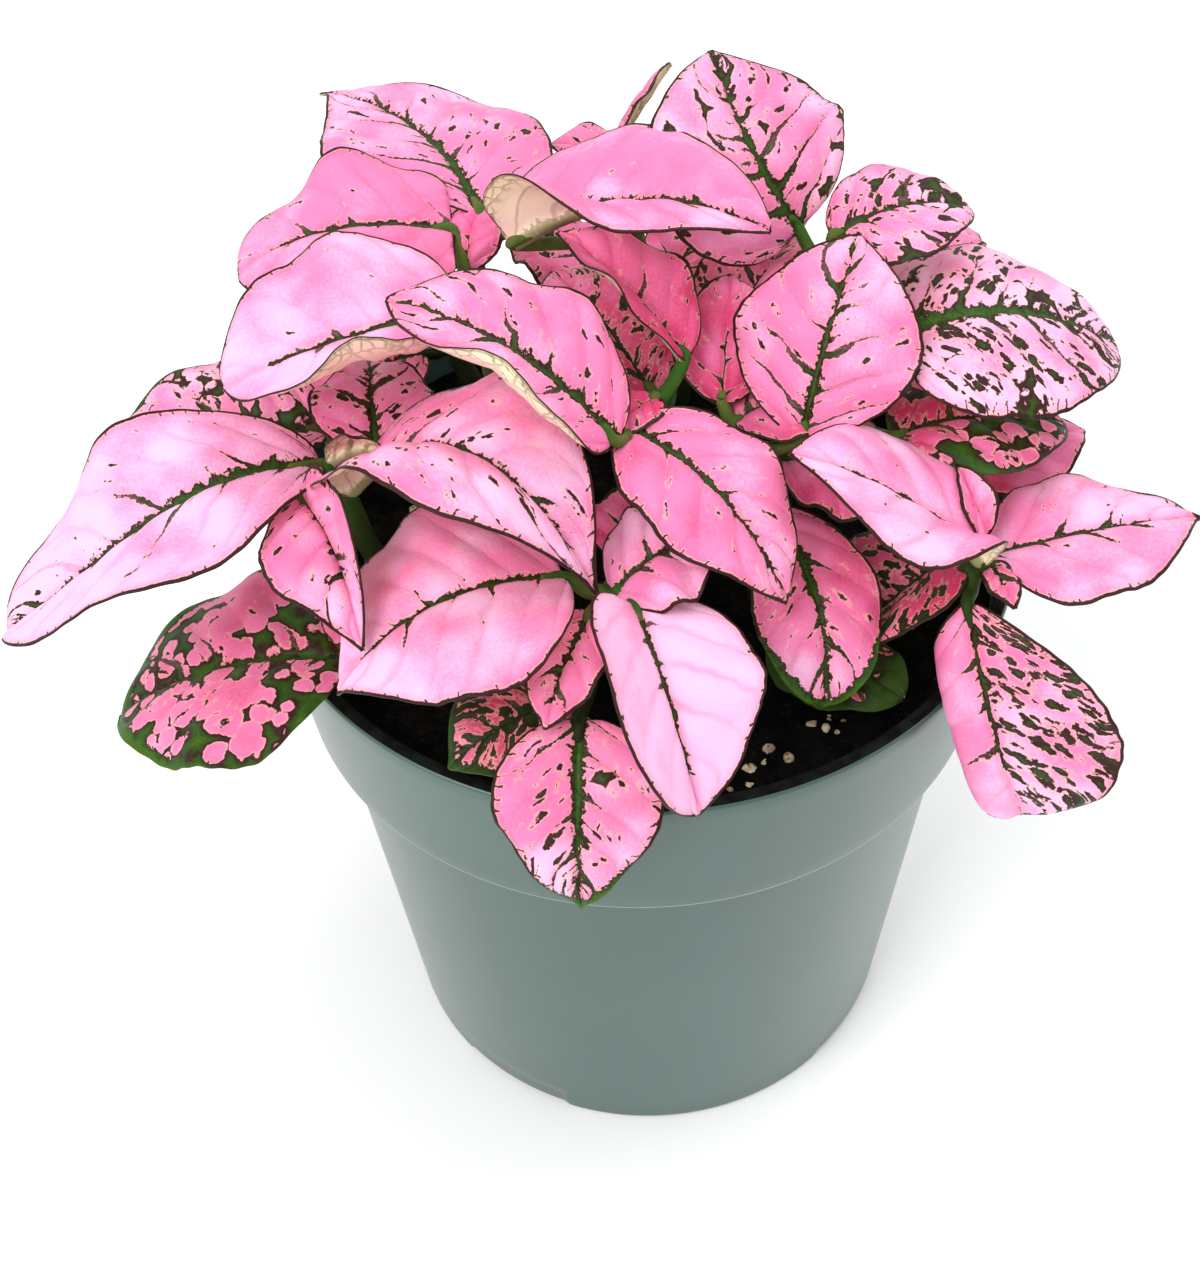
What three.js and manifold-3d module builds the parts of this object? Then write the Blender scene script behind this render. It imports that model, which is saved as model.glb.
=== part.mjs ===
// A young polka dot plant (Hypoestes) in a small nursery pot.
//
// The pot is a thin moulded cup with a collar band and four drain slots. It is filled with potting
// soil, and several cuttings are rooted in it. Each cutting is one leafy shoot: a stem, its leaf
// stalks and its leaves, grown as one piece. All sizes are in millimetres and all angles in
// degrees. The origin is on the pot's axis, at its underside, and +Z is up.

import * as THREE from 'three';
import { mergeVertices } from 'three/addons/utils/BufferGeometryUtils.js';
import Module from 'manifold-3d';

const wasm = await Module();
wasm.setup();

// ---------------------------------------------------------------- driving dimensions

const POT_HEIGHT = 48.6;
const RIM_RADIUS = 26;
const BAND_HEIGHT = 11.7;          // collar band below the rim
const BAND_FOOT_RADIUS = 24.9;     // radius at the band's lower edge
const WALL_TOP_RADIUS = 23.4;      // radius of the wall just under the band
const BASE_RADIUS = 20.3;
const WALL = 1;                    // thickness of the plastic
const EDGE = 0.5;                  // small bevel round the bottom edge and the lip
const POT_SEGMENTS = 48;

const DRAIN_COUNT = 4;
const DRAIN_FIRST_ANGLE = -125.5;  // middle of the first slot, from +X
const DRAIN_WIDTH_ANGLE = 27;
const DRAIN_HEIGHT = 0.9;          // height of the slot in the bottom edge
const DRAIN_DEPTH = 3.4;           // how far the slot reaches in from the bottom edge
const DRAIN_HOLE_WIDTH = 1.6;      // the gap through the floor at the slot's inner end

const SOIL_CLEARANCE = 0.4;        // gap between the soil and the pot
const SOIL_EDGE_DEPTH = 3;         // soil surface below the rim, at the wall
const SOIL_CROWN = 0.5;            // rise of the soil towards the middle
const SOIL_ROUGHNESS = 0.3;
const SOIL_SEGMENTS = 36;

const STEM_RADIUS = 0.95;
const STEM_HOLE_RADIUS = 1.7;      // hole in the soil that a stem stands in
const STEM_HOLE_SIDES = 8;
const STEM_FLOOR = 38;             // height of a stem's cut end, inside the soil
const STEM_SIDES = 6;
const STEM_STEPS = 5;
const STALK_RADIUS = 0.65;
const STALK_SIDES = 5;
const STALK_STEPS = 2;
const STALK_SAG = 0.4;             // how far a leaf stalk hangs below the straight line
const STALK_OVERLAP = 0.4;         // how far it runs on under the blade, in the blade's own steps

const BLADE = 0.7;                 // thickness of a leaf
const BLADE_STUB = 0.4;            // half width of a blade at its root and its tip
const LEAF_ALONG = 6;              // steps from root to tip
const LEAF_ACROSS = 4;             // steps from edge to edge
const BUD_ALONG = 4;               // steps from root to tip of a small young leaf
const BUD_ACROSS = 2;
const BUD_WIDTH = 8;               // leaves up to this width are made with the smaller steps

const PERLITE_RADIUS = 0.7;
const PERLITE_SCATTERED = 8;       // grains beyond the ones placed by hand
const PERLITE_SEED = 7;
const PERLITE_STEM_GAP = 3;        // nearest that a scattered grain lies to a stem

const POT_COLOUR = 0x72877f;
const SOIL_COLOUR = 0x1d1815;
const LEAF_COLOUR = 0xe88fb0;

// ---------------------------------------------------------------- the shoots
//
// Each shoot has the points of its stem above the soil and its leaves. A leaf gives the stem point
// that its stalk leaves from (counted up from the soil), the root and tip of its blade, and its
// shape:
//   width   from edge to edge, laid flat
//   arch    rise of the midrib above the straight line from root to tip
//   lean    moves the arch towards the root (+) or the tip (-)
//   bow     the midrib's swing to the leaf's right
//   tilt    turns the whole blade, right edge up
//   twist   turns the blade from root to tip, right edge up
//   fold    slope of the left and the right half at the midrib
//   curl    further bend of the left and the right half from midrib to edge, up if positive
//   widest  place of the widest point, from root (0) to tip (1)
//   point   low is blunt, high is slender towards root and tip
//   ripple, waves, phase   height, number and start of the waves along the edges

const LEAF_SHAPE = {
  width: 15, arch: 2, lean: 0, bow: 0, tilt: 0, twist: 0, fold: [12, 12], curl: [-30, -30],
  widest: 0.42, point: 0.8, ripple: 0.5, waves: 2.5, phase: 0,
};

const SHOOTS = [
  {
    name: 'shoot_front',
    stem: [[-2, -11, 47], [-3.5, -16, 51], [-2.5, -16.5, 58]],
    leaves: [
      ['broad_left', 3, [-5, -16, 59], [-17, -20, 55], { width: 16, arch: 3 }],
      ['pale_front', 3, [-0.5, -19, 59.5], [2.5, -28.5, 52], {
        width: 12.5, arch: 2.5, bow: 0.3, fold: [5, 50], curl: [-25, 10], widest: 0.45,
      }],
      ['small_right', 3, [-2, -17.5, 59], [4, -15, 60], { width: 8.5, arch: 1.5 }],
      ['young_front', 3, [-3.5, -18, 58], [-6.5, -23.5, 54], { width: 5, arch: 1 }],
      ['hanging_front', 2, [-4.5, -22, 53], [-5, -28, 42], {
        width: 10.5, arch: 2.4, widest: 0.38, point: 0.9,
      }],
      ['dark_low', 2, [-4.5, -18.5, 51], [-12, -22.5, 49.5], { width: 9, arch: 1.2 }],
      ['inner', 3, [-1.5, -12.5, 57], [-0.5, -8.5, 59], { width: 5, arch: 1 }],
    ],
  },
  {
    name: 'shoot_left',
    stem: [[-13.5, -6.5, 47], [-17.5, -7, 53], [-19, -7, 60]],
    leaves: [
      ['long_left', 3, [-20, -6, 60], [-40, -13.5, 54], {
        width: 14.2, arch: 2.9, bow: -0.6, fold: [14, 24], curl: [-25, -25], ripple: 2, waves: 1.5,
        phase: 0.8, widest: 0.47, point: 0.6,
      }],
      ['behind_left', 2, [-20.5, 0.5, 57], [-35.5, 3.5, 55], { width: 11.5, arch: 2, tilt: 12 }],
      ['folded_front', 3, [-21, -9, 60], [-20, -17, 55], {
        width: 7, arch: 1.2, bow: -0.5, fold: [48, 8], curl: [0, -20],
      }],
      ['upright', 3, [-16.5, -6, 60.5], [-17, 1.5, 62], { width: 8, arch: 1.5 }],
      ['bud', 3, [-18.5, -7, 61], [-15, -8.5, 62], { width: 4, arch: 0.8, tilt: 40 }],
      ['arched_right', 3, [-18, -8.5, 60], [-3, -18.5, 59.5], {
        width: 14, arch: 7.5, widest: 0.55, point: 1.2, fold: [20, 35], lean: -0.1,
      }],
      ['low_green', 2, [-19, -13.5, 50], [-35, -13, 45], { width: 17, arch: 2 }],
    ],
  },
  {
    name: 'shoot_back_left',
    stem: [[-8, 5, 47], [-9, 4, 56], [-10, 4, 65]],
    leaves: [
      ['high_back', 3, [-9.5, 8.5, 68], [-21.5, 28, 66], {
        width: 15, arch: 1, bow: 1.8, tilt: -5, fold: [35, 0], point: 1.1, widest: 0.38,
      }],
      ['ridged_left', 3, [-12, 7, 68], [-25, 6.5, 66], {
        width: 12.5, arch: 2.2, tilt: 15, widest: 0.36, point: 1.05,
      }],
      ['domed_left', 3, [-10.5, -1.5, 68], [-25, -6, 66.5], {
        width: 15, arch: 0.8, fold: [-10, 32], curl: [85, -30],
      }],
      ['bud', 3, [-10.5, 5.5, 66], [-9.5, 9.5, 68], { width: 4.5, arch: 1 }],
    ],
  },
  {
    name: 'shoot_centre',
    stem: [[0.5, -3.5, 47], [1, -5, 56], [1, -6.5, 64]],
    leaves: [
      ['rolled_left', 3, [-1.5, -12, 66], [-14.5, -5.7, 72.2], {
        width: 12, arch: 2, fold: [-15, 18], curl: [100, -25],
      }],
      ['streaked_front', 3, [-1, -9.5, 65], [8, -18.5, 58.5], { width: 10, arch: 2.5 }],
      ['bud', 3, [1, -7, 65], [-2, -11, 65], { width: 3.5, arch: 0.6 }],
      ['inner_green', 2, [1, -4.5, 60], [-1.5, -1.5, 61], { width: 4, arch: 0.6 }],
      ['coral_back', 3, [3, -4, 65.5], [-4.5, 2.5, 70.5], {
        width: 9, arch: 1, fold: [40, 20], curl: [40, -20],
      }],
      ['dark_back', 2, [1, -3.5, 62.2], [-4, 7, 64.2], { width: 8.5, arch: 1 }],
    ],
  },
  {
    name: 'shoot_right_centre',
    stem: [[8, -6, 47], [8, -7, 54], [7, -6.5, 60]],
    leaves: [
      ['upright_oval', 3, [10, -7.5, 61.7], [14, 0.5, 70.7], { width: 12, arch: 1, widest: 0.46 }],
      ['inner', 3, [5, -3.5, 62.5], [6.5, 3.5, 66], { width: 5.5, arch: 1 }],
      ['low_back', 3, [5, -4, 61.5], [10.5, 1, 62.5], { width: 7, arch: 1 }],
      ['low_right', 2, [9, -6, 58.5], [17, -9, 56.5], { width: 9, arch: 1.5 }],
      ['coral_front', 2, [8, -10, 57], [11.5, -19.5, 50], { width: 9.5, arch: 2, bow: -1 }],
      ['olive_low', 2, [8, -11, 48], [13, -17, 47.5], { width: 7, arch: 0.5 }],
      ['speckled_back', 3, [5.5, 0, 63], [11.5, 9, 65], { width: 8.5, arch: 1 }],
    ],
  },
  {
    name: 'shoot_right',
    stem: [[16, -8, 47], [18.5, -11.5, 51], [20.3, -13.8, 56]],
    leaves: [
      ['pointed_left', 3, [20.5, -14.5, 57], [8.5, -12.7, 65], { width: 11.5, arch: 2.3, fold: [32, 15] }],
      ['pointed_right', 3, [21, -13, 56], [35.5, -9.5, 55], {
        width: 11.2, arch: 1.5, bow: 0.8, widest: 0.36, point: 0.95,
      }],
      ['hanging_right', 3, [19.5, -16, 55], [25.5, -21.5, 42.5], {
        width: 12.5, arch: 2, bow: 0.5, tilt: -28, fold: [0, 25], curl: [-30, 20], widest: 0.58,
      }],
      ['dark_low', 2, [20, -10.5, 51.5], [14, -13, 49], { width: 9, arch: 1 }],
      ['curled_bud', 3, [21.2, -13.2, 58], [22, -9.8, 60.3], { width: 4, arch: 0.5, fold: [50, 50] }],
      ['bud', 3, [21, -14, 56.5], [22, -17.5, 56], { width: 3, arch: 0.3 }],
    ],
  },
  {
    name: 'shoot_back',
    stem: [[1, 9, 47], [1.5, 10, 56], [0.5, 9, 66]],
    leaves: [
      ['edge_on', 3, [-1, 11.5, 70], [3.5, 17.5, 73], {
        width: 5, arch: 0.3, tilt: 63, fold: [0, 0], curl: [-10, -10],
      }],
      ['domed_top', 3, [-7, 3, 70], [8.5, 1, 71.5], {
        width: 12, arch: 2.6, tilt: 12, twist: -14, fold: [38, 18], curl: [-35, -20], widest: 0.42,
        point: 0.7,
      }],
      ['back_left', 2, [-1, 11, 60], [-8, 18, 63], { width: 8, arch: 1.5 }],
      ['back_right', 2, [3, 11, 60], [8, 18, 62], { width: 8, arch: 1 }],
    ],
  },
  {
    name: 'shoot_back_right',
    stem: [[12, 3, 47], [13.5, 1, 56], [14, -1, 65]],
    leaves: [
      ['top_leaf', 3, [11, 6, 67.5], [5.5, 13.5, 75.5], {
        width: 14.5, arch: 1.2, bow: -0.6, widest: 0.45, point: 0.85,
      }],
      ['green_right', 3, [15.8, -3, 65.8], [31.3, -0.6, 60], { width: 15.5, arch: 2.2 }],
      ['speckled_right', 3, [13.5, 2.7, 69.3], [21.6, 4.2, 69.5], {
        width: 8.8, arch: 1.4, widest: 0.42, point: 0.65,
      }],
      ['dark_right', 2, [18, -6, 60], [27.5, -4, 58.5], { width: 9, arch: 1.2 }],
      ['pink_right', 2, [21.5, -5, 54.5], [30, -0.5, 55], { width: 7, arch: 1 }],
    ],
  },
  {
    name: 'shoot_far_left',
    stem: [[-11, 14, 47], [-13, 16, 52], [-14, 17, 57]],
    leaves: [
      ['left', 3, [-15.5, 15.5, 58], [-28, 17.5, 54], { width: 11, arch: 2.2 }],
      ['back_left', 2, [-14.5, 19, 54.5], [-20.5, 31.5, 48.5], { width: 11.5, arch: 2.5 }],
      ['back', 3, [-12.5, 18.5, 58], [-9, 31.5, 54], { width: 11, arch: 2.5 }],
      ['front_left', 2, [-15, 13.5, 53], [-24, 8, 50.5], { width: 10, arch: 1.5 }],
    ],
  },
  {
    name: 'shoot_far_middle',
    stem: [[4, 16, 47], [4.5, 18, 53], [4.5, 20, 60]],
    leaves: [
      ['back', 3, [4, 22, 59.5], [1, 35, 52], { width: 11.5, arch: 2.7 }],
      ['back_right', 3, [6, 20.5, 61], [15.5, 30, 58], { width: 10, arch: 2 }],
      ['left', 3, [3, 20, 62], [-5, 22, 64.5], { width: 8, arch: 1 }],
      ['low_back', 2, [3, 19, 54], [-4, 25.5, 50], { width: 10, arch: 1 }],
    ],
  },
  {
    name: 'shoot_far_right',
    stem: [[15, 11, 47], [17, 12, 52], [18, 13, 57]],
    leaves: [
      ['right', 3, [19.5, 12.5, 57.5], [30, 11.5, 53.5], { width: 10.5, arch: 2 }],
      ['back_right', 3, [19, 16, 56.5], [25, 28, 50], { width: 11, arch: 2.5 }],
      ['front_right', 3, [18.5, 11, 58.5], [26, 6, 58], { width: 8, arch: 1.2 }],
      ['low_back', 2, [16.5, 15, 52.5], [14.5, 28, 48], { width: 11, arch: 2 }],
    ],
  },
];

// Perlite grains that lie where the soil is open to view: [x, y]
const PERLITE_PLACES = [[5.5, -21.5], [6.5, -20], [7.5, -20], [10, -17], [11, -16.5], [13.5, -16.5]];

// ---------------------------------------------------------------- helpers

const UP = new THREE.Vector3(0, 0, 1);
const radians = THREE.MathUtils.degToRad;
const vector = ([x, y, z]) => new THREE.Vector3(x, y, z);

// A closed three.js geometry as a solid: only positions, with shared corners merged.
function solid(geometry) {
  geometry.deleteAttribute('normal');
  geometry.deleteAttribute('uv');
  const merged = mergeVertices(geometry, 1e-4);
  return new wasm.Manifold(new wasm.Mesh({
    numProp: 3,
    vertProperties: new Float32Array(merged.attributes.position.array),
    triVerts: new Uint32Array(merged.index.array),
  }));
}

// A solid as a named mesh in one colour.
function namedMesh(name, body, colour, roughness) {
  const { vertProperties, triVerts } = body.getMesh();
  const geometry = new THREE.BufferGeometry();
  geometry.setAttribute('position', new THREE.BufferAttribute(vertProperties, 3));
  geometry.setIndex(new THREE.BufferAttribute(triVerts, 1));
  geometry.computeVertexNormals();
  const material = new THREE.MeshStandardMaterial({ color: colour, roughness, metalness: 0 });
  const mesh = new THREE.Mesh(geometry, material);
  mesh.name = name;
  return mesh;
}

// The outer skin of a body: a small hollow that closes where fused pieces meet is filled.
function outerSkin(body) {
  return body.decompose().reduce((best, part) => (part.volume() > best.volume() ? part : best));
}

// A profile of [radius, height] points turned round the Z axis.
function turned(profile, segments) {
  const points = profile.map(([radius, height]) => new THREE.Vector2(radius, height));
  return new THREE.LatheGeometry(points, segments).rotateX(Math.PI / 2);
}

// A round bar with few sides along a smooth curve through the points.
function bar(points, radius, sides, steps) {
  const section = new THREE.Shape();
  for (let side = 0; side < sides; side += 1) {
    const angle = (2 * Math.PI * side) / sides;
    const [x, y] = [radius * Math.cos(angle), radius * Math.sin(angle)];
    if (side === 0) section.moveTo(x, y);
    else section.lineTo(x, y);
  }
  const path = new THREE.CatmullRomCurve3(points);
  return solid(new THREE.ExtrudeGeometry(section, { steps, bevelEnabled: false, extrudePath: path }));
}

// Random numbers from 0 to 1 that are the same on every run.
function seededRandom(seed) {
  let state = seed;
  return () => {
    state = (state * 16807) % 2147483647;
    return state / 2147483647;
  };
}

// ---------------------------------------------------------------- pot

function makePot() {
  const bandFoot = POT_HEIGHT - BAND_HEIGHT;
  const body = solid(turned([
    [0, 0],
    [BASE_RADIUS - EDGE, 0],
    [BASE_RADIUS, EDGE],
    [WALL_TOP_RADIUS, bandFoot],
    [BAND_FOOT_RADIUS, bandFoot],
    [RIM_RADIUS, POT_HEIGHT - EDGE / 2],
    [RIM_RADIUS - EDGE / 2, POT_HEIGHT],
    [RIM_RADIUS - WALL, POT_HEIGHT],
    [BAND_FOOT_RADIUS - WALL, bandFoot + WALL],
    [WALL_TOP_RADIUS - WALL, bandFoot],
    [BASE_RADIUS - WALL + 0.1, WALL + 0.2],
    [0, WALL + 0.2],
  ], POT_SEGMENTS));
  const slotInner = BASE_RADIUS - DRAIN_DEPTH;
  const slot = (inner, outer, height, angle) => {
    const half = radians(DRAIN_WIDTH_ANGLE / 2);
    const sector = new THREE.Shape();
    sector.absarc(0, 0, outer, -half, half, false);
    sector.absarc(0, 0, inner, half, -half, true);
    const options = { depth: height + 1, bevelEnabled: false, curveSegments: 6 };
    const block = new THREE.ExtrudeGeometry(sector, options);
    return solid(block.translate(0, 0, -1).rotateZ(radians(angle)));
  };
  let pot = body;
  for (let index = 0; index < DRAIN_COUNT; index += 1) {
    const angle = DRAIN_FIRST_ANGLE + (360 * index) / DRAIN_COUNT;
    pot = pot.subtract(slot(slotInner, BASE_RADIUS + 2, DRAIN_HEIGHT, angle))
      .subtract(slot(slotInner, slotInner + DRAIN_HOLE_WIDTH, WALL * 3, angle));
  }
  return pot;
}

// ---------------------------------------------------------------- soil

const soilEdge = POT_HEIGHT - SOIL_EDGE_DEPTH;
const soilRadius = RIM_RADIUS - WALL - SOIL_CLEARANCE
  - ((RIM_RADIUS - BAND_FOOT_RADIUS) * SOIL_EDGE_DEPTH) / BAND_HEIGHT;

// Height of the soil's crumbly surface at a place.
function soilHeight(x, y) {
  const inward = Math.max(0, 1 - Math.hypot(x, y) / soilRadius);
  const crumbs = Math.sin(0.9 * x + 0.5) * Math.cos(0.8 * y) + Math.sin(0.5 * x - 1.1 * y);
  return soilEdge + SOIL_CROWN * inward + SOIL_ROUGHNESS * crumbs * Math.min(1, 6 * inward);
}

function makeSoil() {
  const bandFoot = POT_HEIGHT - BAND_HEIGHT;
  const floor = WALL + 0.2 + SOIL_CLEARANCE;
  const rings = [0.8, 0.55, 0.3, 0];
  const geometry = turned([
    [0, floor],
    [BASE_RADIUS - WALL - SOIL_CLEARANCE, floor],
    [WALL_TOP_RADIUS - WALL - SOIL_CLEARANCE, bandFoot],
    [BAND_FOOT_RADIUS - WALL - SOIL_CLEARANCE, bandFoot + WALL + SOIL_CLEARANCE],
    [soilRadius, soilEdge],
    ...rings.map((part) => [soilRadius * part, soilEdge + 1]),
  ], SOIL_SEGMENTS);
  const place = geometry.attributes.position;
  for (let index = 0; index < place.count; index += 1) {
    if (place.getZ(index) > soilEdge + 0.5) {
      place.setZ(index, soilHeight(place.getX(index), place.getY(index)));
    }
  }
  let soil = solid(geometry);

  const grain = new THREE.IcosahedronGeometry(PERLITE_RADIUS, 0);
  const random = seededRandom(PERLITE_SEED);
  const places = [...PERLITE_PLACES];
  while (places.length < PERLITE_PLACES.length + PERLITE_SCATTERED) {
    const angle = 2 * Math.PI * random();
    const radius = (soilRadius - 2) * Math.sqrt(random());
    const spot = [radius * Math.cos(angle), radius * Math.sin(angle)];
    const clear = SHOOTS.every(({ stem }) => (
      Math.hypot(stem[0][0] - spot[0], stem[0][1] - spot[1]) > PERLITE_STEM_GAP));
    if (clear) places.push(spot);
  }
  for (const [x, y] of places) {
    const size = 0.7 + 0.5 * random();
    const turn = new THREE.Euler(6 * random(), 6 * random(), 6 * random());
    const lump = grain.clone().scale(size, size, 0.8 * size)
      .applyMatrix4(new THREE.Matrix4().makeRotationFromEuler(turn))
      .translate(x, y, soilHeight(x, y));
    soil = soil.add(solid(lump));
  }

  for (const { stem: [[x, y]] } of SHOOTS) {
    const depth = soilEdge + 3 - STEM_FLOOR;
    const hole = new THREE.CylinderGeometry(
      STEM_HOLE_RADIUS, STEM_HOLE_RADIUS, depth, STEM_HOLE_SIDES).rotateX(Math.PI / 2);
    soil = soil.subtract(solid(hole.translate(x, y, STEM_FLOOR - SOIL_CLEARANCE + depth / 2)));
  }
  return soil;
}

// ---------------------------------------------------------------- leaves and shoots

// The points of a leaf's middle surface, as rows from root to tip.
function leafGrid(root, tip, shape, along, across) {
  const chord = tip.clone().sub(root);
  const level = chord.clone().cross(UP).normalize();
  const above = level.clone().cross(chord).normalize();
  const turn = radians(shape.tilt);
  const right = level.clone().multiplyScalar(Math.cos(turn)).addScaledVector(above, Math.sin(turn));
  const lift = above.clone().multiplyScalar(Math.cos(turn)).addScaledVector(level, -Math.sin(turn));
  const handle = (end, towards, lean) => end.clone().addScaledVector(chord, towards / 3)
    .addScaledVector(lift, (4 / 3) * shape.arch * (1 + lean))
    .addScaledVector(right, (4 / 3) * shape.bow);
  const midrib = new THREE.CubicBezierCurve3(
    root, handle(root, 1, shape.lean), handle(tip, -1, -shape.lean), tip);
  const half = shape.width / 2;
  const skew = Math.log(0.5) / Math.log(shape.widest);

  const rows = [];
  for (let i = 0; i <= along; i += 1) {
    const u = i / along;
    const centre = midrib.getPoint(u);
    const forward = midrib.getTangent(u);
    const across0 = right.clone().addScaledVector(forward, -right.dot(forward)).normalize();
    const normal0 = across0.clone().cross(forward);
    const twist = radians(shape.twist) * u;
    const sideways = across0.clone().multiplyScalar(Math.cos(twist))
      .addScaledVector(normal0, Math.sin(twist));
    const normal = normal0.clone().multiplyScalar(Math.cos(twist))
      .addScaledVector(across0, -Math.sin(twist));
    const swell = Math.sin(Math.PI * Math.min(u ** skew, 1)) ** shape.point;
    const reach = BLADE_STUB + (half - BLADE_STUB) * swell;
    const row = [];
    for (let j = 0; j <= across; j += 1) {
      const v = (2 * j) / across - 1;
      const side = v > 0 ? 1 : 0;
      const fold = radians(shape.fold[side]);
      const bend = radians(shape.curl[side] || 0.1);
      const run = Math.abs(v) * reach;
      const radius = half / bend;
      const out = radius * (Math.sin(fold + run / radius) - Math.sin(fold));
      const wave = Math.sin(2 * Math.PI * shape.waves * u + shape.phase + 0.6 * Math.PI * side);
      const rise = radius * (Math.cos(fold) - Math.cos(fold + run / radius))
        + shape.ripple * v * v * Math.sin(Math.PI * u) * wave;
      row.push(centre.clone().addScaledVector(sideways, Math.sign(v) * out)
        .addScaledVector(normal, rise));
    }
    rows.push(row);
  }
  return rows;
}

// The blade as a closed sheet: its middle surface moved half the thickness both ways, with the
// same diagonals on both faces.
function makeBlade(rows) {
  const along = rows.length - 1;
  const across = rows[0].length - 1;
  const width = across + 1;
  const count = rows.length * width;
  const points = new Float32Array(count * 6);
  for (let i = 0; i <= along; i += 1) {
    for (let j = 0; j <= across; j += 1) {
      const forward = rows[Math.min(i + 1, along)][j].clone().sub(rows[Math.max(i - 1, 0)][j]);
      const sideways = rows[i][Math.min(j + 1, across)].clone().sub(rows[i][Math.max(j - 1, 0)]);
      const normal = sideways.cross(forward).normalize();
      const top = rows[i][j].clone().addScaledVector(normal, BLADE / 2);
      const under = rows[i][j].clone().addScaledVector(normal, -BLADE / 2);
      top.toArray(points, 3 * (i * width + j));
      under.toArray(points, 3 * (count + i * width + j));
    }
  }
  const faces = [];
  const panel = (a, b, c, d) => faces.push(a, b, c, a, c, d);
  for (let i = 0; i < along; i += 1) {
    for (let j = 0; j < across; j += 1) {
      const [a, b, c, d] = [i * width + j, i * width + j + 1, (i + 1) * width + j + 1, (i + 1) * width + j];
      panel(a, b, c, d);
      faces.push(count + a, count + c, count + b, count + a, count + d, count + c);
    }
    const [right, nextRight] = [i * width + across, (i + 1) * width + across];
    const [left, nextLeft] = [i * width, (i + 1) * width];
    panel(right, count + right, count + nextRight, nextRight);
    panel(nextLeft, count + nextLeft, count + left, left);
  }
  for (let j = 0; j < across; j += 1) {
    const end = along * width + j;
    panel(end, end + 1, count + end + 1, count + end);
    panel(j + 1, j, count + j, count + j + 1);
  }
  const geometry = new THREE.BufferGeometry();
  geometry.setAttribute('position', new THREE.BufferAttribute(points, 3));
  geometry.setIndex(faces);
  return solid(geometry);
}

// A whole shoot: the stem, and for each leaf a stalk that runs on under the start of the blade.
function makeShoot({ stem, leaves }) {
  const [x, y] = stem[0];
  const stemPoints = [[x, y, STEM_FLOOR], ...stem].map(vector);
  const pieces = [bar(stemPoints, STEM_RADIUS, STEM_SIDES, STEM_STEPS)];
  for (const [, joint, rootPlace, tipPlace, changes] of leaves) {
    const shape = { ...LEAF_SHAPE, ...changes };
    const [root, tip, start] = [vector(rootPlace), vector(tipPlace), stemPoints[joint]];
    const small = shape.width <= BUD_WIDTH;
    const rows = leafGrid(root, tip, shape,
      small ? BUD_ALONG : LEAF_ALONG, small ? BUD_ACROSS : LEAF_ACROSS);
    const middle = start.clone().add(root).multiplyScalar(0.5).addScaledVector(UP, -STALK_SAG);
    const end = root.clone().lerp(rows[1][rows[1].length >> 1], STALK_OVERLAP);
    pieces.push(makeBlade(rows));
    pieces.push(bar([start, middle, root, end], STALK_RADIUS, STALK_SIDES, STALK_STEPS));
  }
  return outerSkin(wasm.Manifold.union(pieces));
}

// ---------------------------------------------------------------- the model

const plant = new THREE.Group();
plant.add(namedMesh('pot', makePot(), POT_COLOUR, 0.45));
plant.add(namedMesh('soil', makeSoil(), SOIL_COLOUR, 0.95));
for (const shoot of SHOOTS) {
  plant.add(namedMesh(shoot.name, makeShoot(shoot), LEAF_COLOUR, 0.6));
}

export default plant;
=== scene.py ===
# %% [markdown]
# # A young polka dot plant in a nursery pot
#
# This notebook dresses a plain solid model of a small potted plant. The solid model gives the size
# and the place of the pot, the soil and eleven leafy shoots. Here each of them gets a finer surface
# and a material. Lengths are written in millimetres, and MM turns them into Blender's metres.

# %% Load the frame
import math
from functools import partialmethod

import bpy
import numpy as np
from mathutils import Matrix, Vector


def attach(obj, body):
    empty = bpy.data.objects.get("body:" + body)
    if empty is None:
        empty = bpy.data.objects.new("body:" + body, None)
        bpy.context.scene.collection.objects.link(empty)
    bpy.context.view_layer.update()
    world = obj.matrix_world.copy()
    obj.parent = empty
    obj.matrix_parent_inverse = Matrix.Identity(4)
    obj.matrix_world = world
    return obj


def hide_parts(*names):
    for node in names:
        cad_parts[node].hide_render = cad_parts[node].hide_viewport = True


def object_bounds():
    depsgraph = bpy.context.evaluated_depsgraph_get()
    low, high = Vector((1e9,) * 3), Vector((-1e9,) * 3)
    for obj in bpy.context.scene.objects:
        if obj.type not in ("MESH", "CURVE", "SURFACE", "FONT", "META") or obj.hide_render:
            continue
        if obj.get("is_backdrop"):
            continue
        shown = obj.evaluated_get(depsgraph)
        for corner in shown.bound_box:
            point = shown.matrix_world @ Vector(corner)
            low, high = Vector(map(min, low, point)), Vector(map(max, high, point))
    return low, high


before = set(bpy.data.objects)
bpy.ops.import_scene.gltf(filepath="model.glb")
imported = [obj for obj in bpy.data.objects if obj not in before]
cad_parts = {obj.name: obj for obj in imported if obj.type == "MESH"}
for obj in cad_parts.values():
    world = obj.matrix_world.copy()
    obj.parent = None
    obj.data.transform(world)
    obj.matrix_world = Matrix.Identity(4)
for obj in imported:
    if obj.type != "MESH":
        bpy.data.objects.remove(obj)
solid_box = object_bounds()
MM = 0.001
print("solids:", len(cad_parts), "box in mm:", [[round(x / MM, 1) for x in c] for c in solid_box])

# %% [markdown]
# ## The camera
#
# The picture looks down on the plant at about 47 degrees from close by, so the near leaves are
# larger and the pot tapers strongly. A camera set well back would flatten that, so the distance and
# the lens were fitted together to the ellipses of the rim, the band and the base. The picture is
# also turned by a small roll, because the real camera was not held level.

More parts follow.
